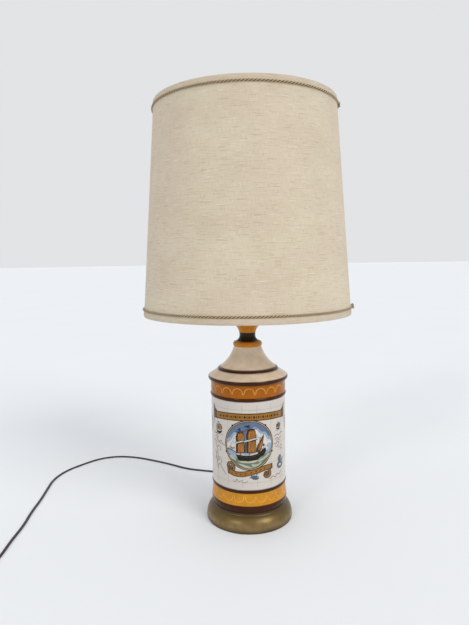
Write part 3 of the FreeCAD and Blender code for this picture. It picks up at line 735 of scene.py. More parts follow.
def glaze():
    """Glossy glaze in brushed bands: smooth on the drum, mottled and specked elsewhere."""
    finish = glossy("glazed_ceramic")
    low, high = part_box("ceramic_body")
    tall = high.z - low.z
    height = finish.parts()[2]
    brush = finish.noise((30.0, 30.0, 60.0), 3.0)
    wander = finish.calc("MULTIPLY_ADD", brush, 1.0 * MM, -0.5 * MM)
    above_foot = finish.calc("SUBTRACT", finish.calc("ADD", height, wander), low.z)
    level = finish.calc("DIVIDE", above_foot, tall)
    soft = 0.25 * MM / tall
    stops = []
    for index, (edge, colour) in enumerate(GLAZE_BANDS):
        share = (edge * MM - low.z) / tall
        stops.append((max(share - soft, 0), colour))
        if index + 1 < len(GLAZE_BANDS):
            stops.append((share + soft, GLAZE_BANDS[index + 1][1]))
    bands = finish.ramp(level, stops)
    # The smooth white drum lies between these shares of the body's height.
    off_drum = finish.ramp(level, [(0.126, 1.0), (0.13, 0.0), (0.594, 0.0), (0.598, 1.0)])
    mottle = finish.spread(finish.noise(55.0, 7.0), 0.88, 1.09)
    cloud = finish.spread(finish.noise(12.0, 4.0), 0.96, 1.03)
    tone = finish.mix(off_drum, cloud, mottle)
    shaded = finish.mix(1.0, bands, tone, "MULTIPLY")
    dots = finish.ramp(finish.specks(120.0), [(0.05, 1.0), (0.09, 0.0)])
    sparse = finish.calc("GREATER_THAN", finish.noise(28.0), 0.58)
    shown = finish.calc("MULTIPLY", finish.calc("MULTIPLY", dots, sparse), off_drum)
    speckled = finish.mix(finish.calc("MULTIPLY", shown, 0.6), shaded, srgb(128, 84, 54))
    pits = finish.noise(260.0, 2.0)
    return finish.finish(speckled, finish.spread(cloud, 0.12, 0.24, 0.96, 1.03), pits, 0.06 * MM)


# ------------------------------------------------------------ printed transfer

# Flat artwork in millimetres: how far round from the front, and the height.

ROUNDEL = Vector((-1.0, 171.5))
ROUNDEL_RADIUS = 49.6
PICTURE_RADIUS = 45.6
DRUM_RADIUS = 74.6
INKS = {
    "outline": (44, 30, 22),
    "gold": (150, 104, 40),
    "olive": (82, 64, 36),
    "cream": (206, 188, 158),
    "sky": (92, 112, 140),
    "cloud": (200, 198, 194),
    "haze": (144, 160, 180),
    "sea": (104, 118, 96),
    "foam": (176, 178, 158),
    "hull": (18, 20, 18),
    "sail": (150, 94, 36),
    "sail_light": (186, 130, 62),
    "sail_shade": (64, 38, 20),
    "mast": (44, 26, 18),
    "teal": (26, 44, 56),
    "slate": (92, 106, 124),
    "tan": (126, 98, 70),
    "line": (108, 92, 86),
    "grid": (168, 160, 156),
    "scallop": (212, 166, 90),
}


def placed(centre, points, size=1):
    """A drawing's points, scaled and moved to a centre."""
    return [Vector(centre) + Vector(point) * size for point in points]


class Artwork:
    """Shapes painted one over another, then cut into one flat layer of faces.

    A clipped shape shows only inside the window, which is one of the shapes.
    """

    def __init__(self):
        self.shapes = []
        self.window = None

    def fill(self, ink, points, clipped=False):
        """Adds a shape, its outline running anticlockwise."""
        outline = [Vector(p) for p in points]
        area = sum(outline[k - 1].cross(outline[k]) for k in range(len(outline)))
        self.shapes.append((ink, outline if area > 0 else outline[::-1], clipped))

    def blob(self, ink, points, clipped=False):
        self.fill(ink, through(points, 5, True), clipped)

    def disc(self, ink, centre, radius, count=64):
        self.fill(ink, placed(centre, ring(radius, count)))

    def line(self, ink, points, width, clipped=False, taper=False):
        """A stroke of that width through the points, thinning to its end if tapered.

        It is laid in short overlapping lengths, so a stroke may cross itself.
        """
        thinning = 0.8 if taper else 0
        lap_share = 0.2
        points = [Vector(p) for p in points]
        last = len(points) - 1
        for index in range(last):
            start, end = points[index], points[index + 1]
            ahead = (end - start).normalized()
            aside = Vector((-ahead.y, ahead.x)) * width / 2
            aside *= 1 - thinning * index / last
            lap = ahead * width * lap_share
            corners = [start - lap - aside, end + lap - aside, end + lap + aside, start - lap + aside]
            self.fill(ink, corners, clipped)

    def curve(self, ink, points, width, clipped=False, taper=False):
        self.line(ink, through(points, 6), width, clipped, taper)

    def cut_faces(self, column_width):
        """The uppermost ink at every place: points, triangles and their inks."""
        points, loops = [], []
        for _, outline, _ in self.shapes:
            loops.append(list(range(len(points), len(points) + len(outline))))
            points += outline
        low = min(p.x for p in points)
        high = max(p.x for p in points)
        bottom = min(p.y for p in points) - 1
        top = max(p.y for p in points) + 1
        edges = []
        for column in range(1, math.ceil((high - low) / column_width)):
            edges.append((len(points), len(points) + 1))
            across = low + column * column_width
            points += [Vector((across, bottom)), Vector((across, top))]
        places, _, faces, _, _, sources = delaunay_2d_cdt(points, edges, loops, 0, 1e-5)
        kept, inks = [], []
        for face, covers in zip(faces, sources):
            seen = [k for k in covers if not self.shapes[k][2] or self.window in covers]
            if seen:
                kept.append(face)
                inks.append(self.shapes[max(seen)][0])
        return places, kept, inks


def ink_finish(name, colour):
    """Ceramic ink fired under the glaze, a little uneven where it was screened on."""
    finish = glossy("ink_" + name)
    patch = finish.noise(90.0, 5.0)
    weak = tuple(0.82 * channel for channel in colour[:3]) + (1.0,)
    strong = tuple(min(1.12 * channel, 1.0) for channel in colour[:3]) + (1.0,)
    tone = finish.clouded(patch, weak, strong)
    if name == "sky":
        low = (ROUNDEL.y - PICTURE_RADIUS) * MM
        level = finish.calc(
            "DIVIDE", finish.calc("SUBTRACT", finish.parts()[2], low), 2 * PICTURE_RADIUS * MM
        )
        fade = finish.ramp(level, [(0.2, 0.0), (0.75, 1.0)])
        tone = finish.mix(fade, srgb(150, 168, 192), tone)
    return finish.finish(tone, finish.spread(patch, 0.14, 0.24), patch, 0.02 * MM)


def paint_banner(art):
    """A long gold ribbon over the roundel, between two pennant poles."""

    middle_height = 226.2
    drop = 3.9
    half_length = 82

    def sag(across):
        return middle_height - drop * abs(across / half_length) ** 3

    centre = [(across, sag(across)) for across in range(-84, 85, 6)]
    for side in (-1, 1):
        art.blob(
            "olive",
            [
                (side * 72, 229), (side * 79, 234), (side * 83.5, 239), (side * 86.4, 244),
                (side * 87.4, 232), (side * 87.2, 215), (side * 80, 218),
            ],
        )
        art.line("outline", [(side * 86.6, 243), (side * 86.4, 203)], 1.7)
        art.curve(
            "outline", [(side * 74, 231.6), (side * 80, 235), (side * 84, 240), (side * 86.5, 244)], 1.0
        )
    art.line("outline", centre, 14.8)
    art.line("olive", centre, 12.6)
    art.line("gold", centre[2:-2], 10.6)
    for place in range(-63, 64, 9):
        tall = 3.6 if place % 2 else 2.8
        middle = sag(place)
        art.fill(
            "outline",
            [(place - 2.2, middle), (place, middle - tall), (place + 2.2, middle), (place, middle + tall)],
        )
    for place in range(-58, 60, 9):
        middle = sag(place)
        art.line("outline", [(place - 0.5, middle - 2.6), (place - 0.5, middle + 2.6)], 1.2)


def paint_roundel(art):
    art.disc("outline", ROUNDEL, ROUNDEL_RADIUS, 96)
    art.disc("tan", ROUNDEL, ROUNDEL_RADIUS - 1.5, 96)
    art.disc("cream", ROUNDEL, ROUNDEL_RADIUS - 2.0, 96)
    art.disc("outline", ROUNDEL, PICTURE_RADIUS + 1.2, 96)
    for degrees in (49, 131, 199, 341):
        angle = math.radians(degrees)
        ahead = Vector((math.cos(angle), math.sin(angle)))
        across = Vector((-ahead.y, ahead.x))
        root = ROUNDEL + ahead * (ROUNDEL_RADIUS - 0.5)
        art.fill(
            "outline",
            [
                root - across * 2.6, root + ahead * 2.6 - across, root + ahead * 2.6 + across,
                root + across * 2.6,
            ],
        )
    art.disc("sky", ROUNDEL, PICTURE_RADIUS, 96)
    art.window = len(art.shapes) - 1


def paint_scene(art):
    """Clouds, sea and a three-masted ship under full sail, drawn for this lamp."""

    def blob(ink, points):
        art.blob(ink, placed(ROUNDEL, points), True)

    def fill(ink, points):
        art.fill(ink, placed(ROUNDEL, points), True)

    def line(ink, points, width, taper=False):
        art.curve(ink, placed(ROUNDEL, points), width, True, taper)

    paint_weather(blob, fill)
    paint_sea(blob, line)
    paint_hull(art, blob, fill, line)
    paint_rigging(blob, fill, line)


def paint_weather(blob, fill):
    """Piled clouds with hazy edges to both sides of the sails."""
    blob("haze", [(-52, -6), (-45, 9), (-38, 14), (-31, 23), (-24, 24), (-18, 10), (-21, -12), (-50, -15)])
    blob("cloud", [(-52, -9), (-42, 3), (-36, 8), (-30, 18), (-24, 19), (-18, 8), (-21, -12), (-34, -12)])
    blob("haze", [(7, 33), (17, 33), (25, 26), (33, 24), (39, 15), (47, 11), (52, -8), (36, -14), (10, 0)])
    right = [
        (9, 30), (16, 29), (22, 22), (30, 20), (35, 12), (42, 7), (46, 1), (38, -10), (24, -12),
        (10, 2),
    ]
    blob("cloud", right)
    blob("haze", [(35, -1), (42, 2), (49, -3), (45, -9), (37, -7)])
    blob("haze", [(-46, -9), (-38, -8), (-30, -13), (-34, -20), (-46, -16)])
    fill(
        "sea",
        [
            (-52, -18), (-40, -19), (-31, -24), (-22, -27), (20, -27), (29, -20), (38, -17), (52, -9),
            (52, -52), (-52, -52),
        ],
    )


def paint_sea(blob, line):
    """Pale crests and darker troughs, and the bow wave."""
    for crest in (
        [(-46, -22), (-38, -21), (-27, -27), (-27, -31), (-38, -27)],
        [(-21, -31), (-12, -29), (-3, -32), (8, -30), (17, -30), (9, -34), (-6, -35), (-16, -34)],
        [(18, -30), (28, -25), (38, -19), (42, -20), (32, -28), (20, -34)],
        [(-22, -37), (-12, -38), (0, -42), (6, -45), (-8, -44)],
        [(4, -37), (14, -38), (24, -34), (16, -41), (8, -43)],
    ):
        blob("foam", crest)
    for trough in (
        [(-38, -31), (-30, -34), (-18, -36)],
        [(-12, -37.4), (-2, -38), (8, -36.6)],
        [(14, -35), (24, -31.4), (33, -30)],
        [(-28, -36), (-20, -40), (-8, -41.6)],
        [(30, -22), (36, -22.4), (41, -25)],
    ):
        line("slate", trough, 1.0, True)


def paint_hull(art, blob, fill, line):
    """A dark hull with a high stern, its bowsprit to the left."""
    line("mast", [(-43, -9.5), (-34, -11), (-24, -15.5)], 1.5)
    line("tan", [(-38, -5.5), (-33.5, -7.5), (-29, -6)], 2.4)
    line("mast", [(-36.5, -2), (-34.5, -9.5)], 0.7)
    fill(
        "hull",
        [
            (-27, -16.5), (-24, -18.6), (-8, -20.4), (4, -20), (15, -17.6), (19, -13.5), (23, -12.5),
            (25.5, -9), (31, -6.4), (33, -8), (33.6, -14), (29.5, -20.5), (22, -24.5), (15, -29),
            (4, -30.6), (-19.6, -31), (-23.4, -26),
        ],
    )
    line("olive", [(-24, -21.4), (-8, -23), (6, -22.6), (17, -20), (31, -13.4)], 0.7)
    line("cream", [(-25, -18), (-16, -18.8), (-10, -19.2)], 1.3)
    line("cream", [(-1, -18.4), (8, -17.6), (16, -15.6)], 2.0)
    line("tan", [(20, -10.6), (23, -9.4), (26, -7)], 1.4)
    for port in range(6):
        art.disc("olive", ROUNDEL + Vector((-15 + 5.6 * port, -26 + 0.07 * port**2)), 0.6, 8)
    line("hull", [(27.5, -7), (28, -2)], 0.8)
    blob("hull", [(26, -1.5), (28.4, 1.6), (30.6, -0.4), (28.6, -3.2)])


def paint_rigging(blob, fill, line):
    """Two masts of square sails, a slanting aft sail, furled strips, flags and stays."""
    for foot, top in ((-17.0, 33.0), (0.2, 39.5)):
        line("mast", [(foot, -19), (foot + 0.2, 8), (foot, top)], 1.5)
    line("mast", [(17.5, -15), (20.5, 6), (21.5, 16)], 1.2)
    blob("sail_shade", [(28.6, 20), (27.5, 6), (22.5, -11), (14.5, -13), (15.5, -1), (20, 6)])
    blob("sail", [(27.2, 14), (25.4, 3), (21.5, -9), (17, -10), (18, 0), (22.4, 6)])
    line("sail_light", [(25.4, 9), (23.4, 0), (20.4, -7)], 1.2)
    line("mast", [(29, 21), (24, 8), (13.6, -14)], 0.9)
    for left, right, head, middle, foot in ((-25.5, -9.4, 25, 4.6, -15.6), (-5.4, 13, 30, 8.6, -15.2)):
        paint_mast_sails(fill, line, left, right, head, middle, foot)
    line("mast", [(-7.4, 5), (-7.8, -4), (-7.6, -15)], 2.2)
    for run in (
        [(-25.5, 3.6), (-19, 6.2), (-12, 8)],
        [(-9.6, 7.4), (-3, 9.4), (2.4, 11.6)],
        [(-1, 9), (6, 11.4), (14.6, 13)],
    ):
        line("mast", run, 4.2)
        line("cloud", run, 2.5)
    for foot, top, reach in ((-17.0, 33.0, 6.5), (0.2, 39.5, 11.0)):
        blob(
            "teal",
            [
                (foot, top), (foot - reach * 0.5, top - 1.0), (foot - reach, top - 3.6),
                (foot - reach * 0.55, top - 4.0), (foot, top - 4.4),
            ],
        )
    for stay in (
        [(-17, 32), (-42, -9.5)],
        [(0.2, 38), (-17, 12)],
        [(0.2, 38), (21, 12)],
        [(21.5, 15), (32, -6)],
        [(-17, 32), (-25, -16)],
    ):
        line("mast", stay, 0.45)


def paint_mast_sails(fill, line, left, right, head, middle, foot):
    """An upper and a lower square sail, full of wind, with stitched cloths."""
    for bottom, top, inset in ((middle + 2.4, head, 2.4), (foot, middle, 0.2)):
        level = (top + bottom) / 2
        centre = (left + right) / 2
        fill(
            "sail_shade",
            [
                (left + inset, top), (centre, top + 1.4), (right - inset, top + 1.6),
                (right + 0.9, level), (right + 0.8, bottom + 1.2), (centre, bottom - 0.4),
                (left - 0.2, bottom), (left - 0.6, level),
            ],
        )
        fill(
            "sail",
            [
                (left + inset + 4.4, top - 2), (centre, top - 0.8), (right - inset - 1.2, top - 0.4),
                (right - 0.5, level), (right - 0.8, bottom + 2.4), (centre + 1, bottom + 0.9),
                (left + 3.6, bottom + 1.4), (left + 3.2, level),
            ],
        )
        for share in (0.3, 0.44, 0.58, 0.72, 0.86):
            across = left + (right - left) * share
            line(
                "sail_light",
                [(across, top - 2.8), (across + 1.1, level), (across + 0.4, bottom + 2.6)],
                1.2,
            )
            line(
                "sail_shade",
                [(across + 1.4, top - 2), (across + 2.5, level), (across + 1.8, bottom + 2.2)],
                0.9,
            )
        line("mast", [(left - 1.5, top + 0.3), (centre, top + 1.6), (right + 1.5, top + 2.2)], 1.2)


def paint_ribbon(art):
    """The blank ribbon under the roundel, its ends rolled up at the left and down at the right."""
    centre = through(
        [(-42, 117.5), (-30, 114.0), (-15, 114.0), (2, 117.4), (18, 121.4), (32, 124.8), (45, 125.6)], 5
    )
    left_roll = [
        (-33, 119), (-31.5, 127), (-34.5, 133), (-41, 133.5), (-44.5, 128), (-42, 122), (-38, 124),
        (-39, 128),
    ]
    right_roll = [
        (37, 122), (40.5, 115), (40, 108.5), (34, 106), (29.5, 110), (31.5, 115), (35, 113.4),
        (34.4, 110),
    ]
    for roll in (left_roll, right_roll):
        curl = through(roll, 6)
        art.line("outline", curl, 6.2)
        art.line("olive", curl, 4.8)
        art.line("tan", curl, 3.4)
        art.line("outline", curl[24:], 1.1)
    art.line("outline", centre, 10.8)
    art.line("olive", centre, 9.2)
    art.line("gold", centre[1:-1], 7.6)
    art.line("tan", centre[3:-3], 5.8)
    art.line("gold", centre[4:-4], 5.0)
    for index in range(6, len(centre) - 4, 3):
        art.disc("outline", centre[index], 1.3, 8)
    art.curve("outline", [(-43, 111.6), (-44.5, 116), (-46.5, 120.5)], 1.2)
    art.curve("outline", [(45.5, 130.4), (43.8, 125.5), (42.4, 119.5)], 1.2)


def paint_cog(art, centre, size, sail):
    """A little round-bellied ship with two square sails, riding on a ripple."""

    for ink, form in (
        ("hull", [(-9.5, -5), (-4, -7), (3, -7), (9.5, -4), (7, -9.5), (1, -12.2), (-5.5, -10.8)]),
        (sail, [(-8.5, -3.5), (-9, 1), (-7, 4.4), (-1.8, 5.8), (-1.4, -4.5)]),
        (sail, [(0.4, -4.5), (0.8, 7.5), (7.6, 5.4), (9.8, 1), (8.6, -3.0)]),
    ):
        art.blob(ink, placed(centre, form, size))
    for ink, stroke, width in (
        ("outline", [(-0.4, -6), (-0.2, 11)], 0.9),
        ("outline", [(-9.6, 4.4), (-1, 6.2)], 0.8),
        ("outline", [(0.2, 8.2), (9.4, 5.6)], 0.8),
        ("outline", [(-9, -1.2), (-1.4, 0)], 0.6),
        ("outline", [(0.6, 0.6), (9.4, 0.4)], 0.6),
        ("cream", [(2.8, 5.6), (4.0, 0), (3.2, -3.4)], 1.0),
        ("cream", [(-5.8, 3.4), (-5.2, 0), (-5.8, -3)], 1.0),
    ):
        art.curve(ink, placed(centre, stroke, size), width * size)
    art.blob("outline", placed(centre, [(-0.2, 11), (-5, 10), (-0.2, 8.8)], size))
    ripple = [(-12, -12.8), (-4, -14), (4, -12.8), (12, -13.6)]
    art.curve("slate", placed(centre, ripple, size), 0.9 * size)


def paint_small_ships(art):
    """A brown cog to the left and a small dark one to the right."""
    paint_cog(art, (-68, 199), 1.0, "tan")
    paint_cog(art, (64, 202), 0.68, "teal")


def paint_whale(art, centre):
    """A small spouting whale, its tail to the left."""

    body = [
        (-7, 3.5), (-8.4, 6.5), (-4.4, 5.2), (0, 5.3), (6, 3.3), (8.4, -0.3), (5, -3.5), (-2, -3.3),
        (-6.4, -0.3), (-10.6, 0.3),
    ]
    art.blob("slate", placed(centre, body))
    art.curve("teal", placed(centre, [(-5, 1.3), (0, -1.1), (6.4, -0.9)]), 0.8)
    art.curve("teal", placed(centre, [(-3, 3.9), (1, 3.6), (5, 2.2)]), 0.6)
    art.disc("cream", Vector(centre) + Vector((5.6, 1.0)), 0.7, 8)
    art.curve("slate", placed(centre, [(4, 4.1), (4.4, 6.9), (7, 7.9)]), 0.8)
    art.curve("slate", placed(centre, [(4, 4.1), (3.2, 7.2), (1, 7.6)]), 0.8)


def paint_sea_beasts(art):
    """A coiled sea serpent at the right and a small whale under the ribbon."""
    art.blob(
        "slate",
        [
            (65, 140.5), (70.5, 142), (74.6, 137), (74.2, 131), (78.6, 127), (79.2, 119), (72.4, 114.6),
            (63.6, 115.4), (59.6, 121), (60.4, 126.5), (63.4, 129.5), (62, 135),
        ],
    )
    art.blob("cream", [(65.6, 120.4), (70.6, 119.4), (73, 122), (69.6, 124), (65.6, 123.2)])
    art.curve(
        "teal", [(66.4, 139), (69.4, 134), (68.4, 128), (73.4, 123.6), (75.4, 118.6), (68, 116.8)], 0.9
    )
    art.curve("teal", [(63, 134), (66, 131), (64.4, 127), (62, 122)], 0.7)
    for scale in range(4):
        art.curve("cream", [(70 + scale, 137 - 3 * scale), (72.4 + scale, 135.4 - 3 * scale)], 0.6)
    art.blob("slate", [(75, 131.6), (81, 135), (79.6, 129.4), (76, 128)])
    paint_whale(art, (9, 106.5))


def paint_chart(art):
    """Faint meridians and parallels, coasts, soundings, and scale bars at the sides."""
    apart = TURN * DRUM_RADIUS / 16
    half = TURN * DRUM_RADIUS / 2 - 0.6
    for number in range(-8, 8):
        across = apart * (number + 0.5)
        art.line("grid", [(across, 88), (across, 249)], 0.6)
    for height, reach in ((97, half), (133, half), (169, half - 20), (240, half)):
        art.line("grid", [(-reach, height), (reach, height)], 0.6)
    coasts = [
        [
            (-86, 190), (-80, 184), (-76, 187), (-71, 180), (-75, 175), (-68, 171), (-62, 174),
            (-58, 168), (-52, 166),
        ],
        [(-84, 172), (-78, 168), (-80, 161), (-73, 158), (-69, 163), (-63, 158), (-66, 152)],
        [(-82, 150), (-77, 144), (-79, 137), (-74, 130), (-70, 134), (-72, 141)],
        [(-78, 128), (-72, 122), (-66, 126), (-60, 119), (-54, 113), (-50, 108)],
        [(53, 182), (60, 185), (67, 183), (74, 187), (80, 184)],
        [(54, 176), (61, 178), (66, 175), (72, 179)],
        [(52, 168), (58, 166), (61, 170), (66, 167), (63, 162), (56, 161)],
        [(40, 100), (48, 104), (55, 101), (60, 106), (66, 103), (72, 108)],
    ]
    shoals = [
        [(-81, 178), (-77, 181), (-74, 177)],
        [(-70, 167), (-66, 170), (-62, 165)],
        [(-77, 156), (-72, 152), (-76, 147), (-71, 145)],
        [(-69, 134), (-64, 137), (-61, 131), (-65, 128)],
        [(-80, 121), (-75, 117), (-70, 119)],
        [(57, 172), (63, 174), (69, 171)],
        [(62, 160), (68, 157), (73, 161), (77, 158)],
        [(69, 152), (74, 155), (79, 150)],
    ]
    for coast in coasts:
        art.curve("line", coast, 1.2)
    for shoal in shoals:
        art.curve("line", shoal, 0.9)
    art.curve("line", [(-34, 101), (-29, 98), (-26, 103), (-22, 99), (-16, 101), (-12, 97), (-4, 100)], 0.9)
    art.line("line", [(-80, 150), (-70, 112)], 0.5)
    art.line("line", [(-84, 133), (-62, 141)], 0.5)
    for side in (-1, 1):
        for rung in range(7):
            ink = "line" if rung % 2 else "outline"
            low = 187 + rung * 4
            near, far = side * 95, side * 100
            art.fill(ink, [(near, low), (far, low), (far, low + 4), (near, low + 4)])


def coast_line(chance, centre, size):
    """A closed, seeded shore: broad lobes with small inlets between them."""
    lobes = [(wave, chance.uniform(0, TURN), chance.uniform(0.5, 1.0)) for wave in (2, 3, 5, 8, 13)]
    shore = []
    for step in range(61):
        angle = TURN * step / 60
        swing = sum(depth / wave * math.sin(wave * angle + phase) for wave, phase, depth in lobes)
        reach = size * (0.8 + 0.42 * swing)
        shore.append(
            Vector(centre) + Vector((1.25 * reach * math.cos(angle), 0.8 * reach * math.sin(angle)))
        )
    return shore


def paint_compass(art, centre, radius):
    """A compass rose of eight points inside two rings, with bearings running out of it."""
    centre = Vector(centre)
    for bearing in range(16):
        angle = TURN * (bearing + 0.5) / 16
        ahead = Vector((math.sin(angle), math.cos(angle)))
        art.line("grid", [centre + ahead * radius, centre + ahead * radius * 2.2], 0.5)
    for ink, share in (
        ("outline", 1.0), ("cream", 0.95), ("outline", 0.82), ("gold", 0.78), ("cream", 0.7),
    ):
        art.disc(ink, centre, radius * share, 48)
    for order in (1, 0):
        for point in range(4):
            angle = TURN * (point + order / 2) / 4
            reach = radius * (0.62 if order else 0.92)
            ahead = Vector((math.sin(angle), math.cos(angle)))
            across = Vector((ahead.y, -ahead.x)) * radius * 0.17
            shoulder = centre + ahead * radius * 0.24
            tip = centre + ahead * reach
            art.fill("outline", [centre, shoulder + across, tip])
            art.fill("teal" if order else "gold", [centre, tip, shoulder - across])
    art.disc("outline", centre, radius * 0.1, 16)


def paint_back(art):
    """The chart's unseen sides: seeded islands, a compass, ships, a beast and a scale bar."""
    chance = random.Random(7)
    islands = (
        ((126, 222), 11),
        ((168, 206), 15),
        ((150, 116), 12),
        ((206, 232), 8),
        ((196, 128), 17),
        ((-122, 216), 14),
        ((-176, 222), 11),
        ((-130, 122), 17),
        ((-204, 176), 14),
        ((-178, 108), 8),
    )
    for centre, size in islands:
        shore = coast_line(chance, centre, size)
        art.line("tan", [point + Vector((0.7, -0.9)) for point in shore], 1.0)
        art.line("line", shore, 0.9)
        for ridge in range(3):
            peak = Vector(centre) + Vector((size * (0.5 * ridge - 0.5), size * 0.12 * (ridge % 2)))
            slope = [
                peak + Vector((-size * 0.2, -2.2)), peak + Vector((0, 1.6)),
                peak + Vector((size * 0.2, -2.2)),
            ]
            art.line("line", slope, 0.8)
    paint_compass(art, (134, 168), 19)
    paint_compass(art, (-168, 166), 14)
    paint_cog(art, (206, 196), 0.9, "tan")
    paint_cog(art, (-124, 176), 0.8, "teal")
    paint_whale(art, (-214, 128))
    for rung in range(8):
        ink = "outline" if rung % 2 else "gold"
        left = 166 + rung * 6
        art.fill(ink, [(left, 96), (left + 6, 96), (left + 6, 99), (left, 99)])
    for height, reach in ((154, 9), (148, 13), (142, 7)):
        waves = [
            (176 + reach * share, height + 1.2 * math.sin(share * 9))
            for share in (0, 0.4, 0.8, 1.2, 1.6, 2)
        ]
        art.curve("slate", waves, 0.8)


def scallops(art, low, high, count, standing):
    """A row of linked thin arches round a glaze band, standing or hanging."""
    pitch = TURN * DRUM_RADIUS / count
    start = -TURN * DRUM_RADIUS / 2
    gap = 0.06 * pitch
    half_arch = 0.44 * pitch
    steps = 12
    for index in range(count):
        left = start + pitch * index + gap
        arch = []
        for step in range(steps + 1):
            angle = math.pi * step / steps
            across = left + half_arch * (1 - math.cos(angle))
            lift = math.sin(angle) ** 0.8
            arch.append((across, low + (high - low) * (lift if standing else 1 - lift)))
        art.line("scallop", arch, 1.0)


def wrap_artwork(name, art):
    """Lays flat artwork on the ceramic's own surface, just proud of it."""
    stand_off = 0.1 * MM
    ceramic = frame["nodes"]["ceramic_body"].data
    tree = BVHTree.FromPolygons(
        [v.co for v in ceramic.vertices], [tuple(p.vertices) for p in ceramic.polygons]
    )
    column_degrees = 2.5
    well_outside = 0.2
    places, faces, inks = art.cut_faces(DRUM_RADIUS * math.radians(column_degrees))
    used = sorted(set(inks))
    points = []
    for place in places:
        outward = facing(place.x / DRUM_RADIUS)
        start = outward * well_outside + UP * place.y * MM
        hit = tree.ray_cast(start, -outward)[0]
        points.append(hit + outward * stand_off)
    paints = [ink_finish(ink, srgb(*INKS[ink])) for ink in used]
    return make_piece(
        name, points, faces, "lamp", paints, [used.index(ink) for ink in inks]
    )


def make_transfer():
    art = Artwork()
    paint_chart(art)
    paint_back(art)
    paint_small_ships(art)
    paint_sea_beasts(art)
    paint_roundel(art)
    paint_scene(art)
    paint_banner(art)
    paint_ribbon(art)
    wrap_artwork("transfer", art)
    for name, low, high, standing in (
        ("high_scallops", 269.5, 281.5, True),
        ("low_scallops", 57.5, 69.0, False),
    ):
        band = Artwork()
        scallops(band, low, high, 21, standing)
        wrap_artwork(name, band)


# ------------------------------------------------------------ shade


FABRIC_LOW, FABRIC_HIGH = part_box("shade_fabric")
FABRIC_TOP_RADIUS = 174.2 * MM
# Distances round the cloth are measured at this radius, between the hem's and the crown's.
CLOTH_RADIUS = 190 * MM


def shade_radius(height):
    """The fabric's outer radius at a height."""
    share = (height - FABRIC_LOW.z) / (FABRIC_HIGH.z - FABRIC_LOW.z)
    return FABRIC_HIGH.x + (FABRIC_TOP_RADIUS - FABRIC_HIGH.x) * share


def linen_tones(finish, cloth, light, dark):
    """Oatmeal thread colours: cloudy patches, thin darker threads, tan and pale slubs."""
    broad = finish.noise((9.0, 16.0, 1.0), 4.0, cloth)
    rosy = finish.noise((5.0, 4.0, 1.0), 2.0, cloth)
    weft = finish.noise((60.0, 1000.0, 1.0), 4.0, cloth)
    warp = finish.noise((1000.0, 80.0, 1.0), 2.0, cloth)
    slub = finish.noise((34.0, 600.0, 1.0), 4.0, cloth)
    pale = finish.noise((34.0, 420.0, 1.0), 3.0, cloth)
    knots = finish.noise((170.0, 520.0, 1.0), 2.0, cloth)
    base = finish.clouded(broad, light, dark)
    warmed = finish.mix(finish.spread(rosy, 0.0, 0.55), base, srgb(220, 193, 178))
    woven = finish.mix(finish.spread(weft, 0.0, 0.5), warmed, srgb(238, 228, 208))
    crossed = finish.mix(finish.spread(warp, 0.0, 0.3), woven, srgb(186, 166, 138))
    dashes = finish.ramp(slub, [(0.56, 0.0), (0.72, 0.62)])
    tanned = finish.mix(dashes, crossed, srgb(184, 152, 98))
    streaks = finish.ramp(pale, [(0.6, 0.0), (0.74, 0.55)])
    streaked = finish.mix(streaks, tanned, srgb(244, 236, 220))
    dots = finish.ramp(knots, [(0.67, 0.0), (0.76, 0.7)])
    return finish.mix(dots, streaked, srgb(146, 112, 66)), weft, slub


def linen():
    """Slubby linen: a plain weave with thick tan threads lying across it."""
    finish = Finish("linen", Sheen_Weight=0.2, Sheen_Roughness=0.5, Specular_IOR_Level=0.2)
    cloth = finish.around(CLOTH_RADIUS)
    u, v, _ = finish.parts(cloth)
    thread = 0.75 * MM
    crossing = finish.calc("MULTIPLY", finish.wave(thread, u), finish.wave(thread, v))
    colour, weft, slub = linen_tones(finish, cloth, srgb(226, 217, 188), srgb(210, 195, 167))
    relief = finish.calc("ADD", crossing, finish.calc("MULTIPLY", slub, 2.5))
    return finish.finish(colour, finish.spread(weft, 0.78, 0.95), relief, 0.3 * MM)


def make_fabric():
    """The linen laminated to the liner, with its ends lapped at the back."""
    thickness = 0.8 * MM
    lap = 9 * MM
    lap_height = 0.55 * MM
    raised_edge = 0.5 * MM
    ripple_depth = 0.05 * MM
    rows = 46
    steps = 360
    chance = random.Random(3)
    ripples = [(chance.randint(3, 17), chance.uniform(0, TURN), chance.uniform(4, 15)) for _ in range(6)]

    def outer(angle, height):
        """The lap is a doubled strip with one raised edge at the back."""
        reach = shade_radius(height) - 0.15 * MM
        for count, phase, twist in ripples:
            reach += ripple_depth * math.sin(count * angle + phase + twist * height)
        past_back = (angle - math.pi) * reach
        if -raised_edge < past_back < lap:
            raised = min((past_back + raised_edge) / raised_edge, 1) * (1 - past_back / lap) ** 0.3
            reach += lap_height * raised
        return reach

    tall = FABRIC_HIGH.z - FABRIC_LOW.z
    heights = [FABRIC_LOW.z + tall * row / (rows - 1) for row in range(rows)]
    inner = [(shade_radius(z) - thickness, z) for z in reversed(heights)]

    def outline_at(angle):
        return [(outer(angle, z), z) for z in heights] + inner

    angles = [TURN * step / steps for step in range(steps)]
    # More columns where the lap's edges are.
    angles += [math.pi + past * MM / CLOTH_RADIUS for past in (-0.5, -0.2, 0.1, 1.5, 4.0, 8.0, 8.9)]
    points, faces = turned(sorted(angles), outline_at)
    fabric = make_piece("linen_cover", points, faces, "shade", [linen()])
    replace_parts(fabric, "shade_fabric")
    return fabric


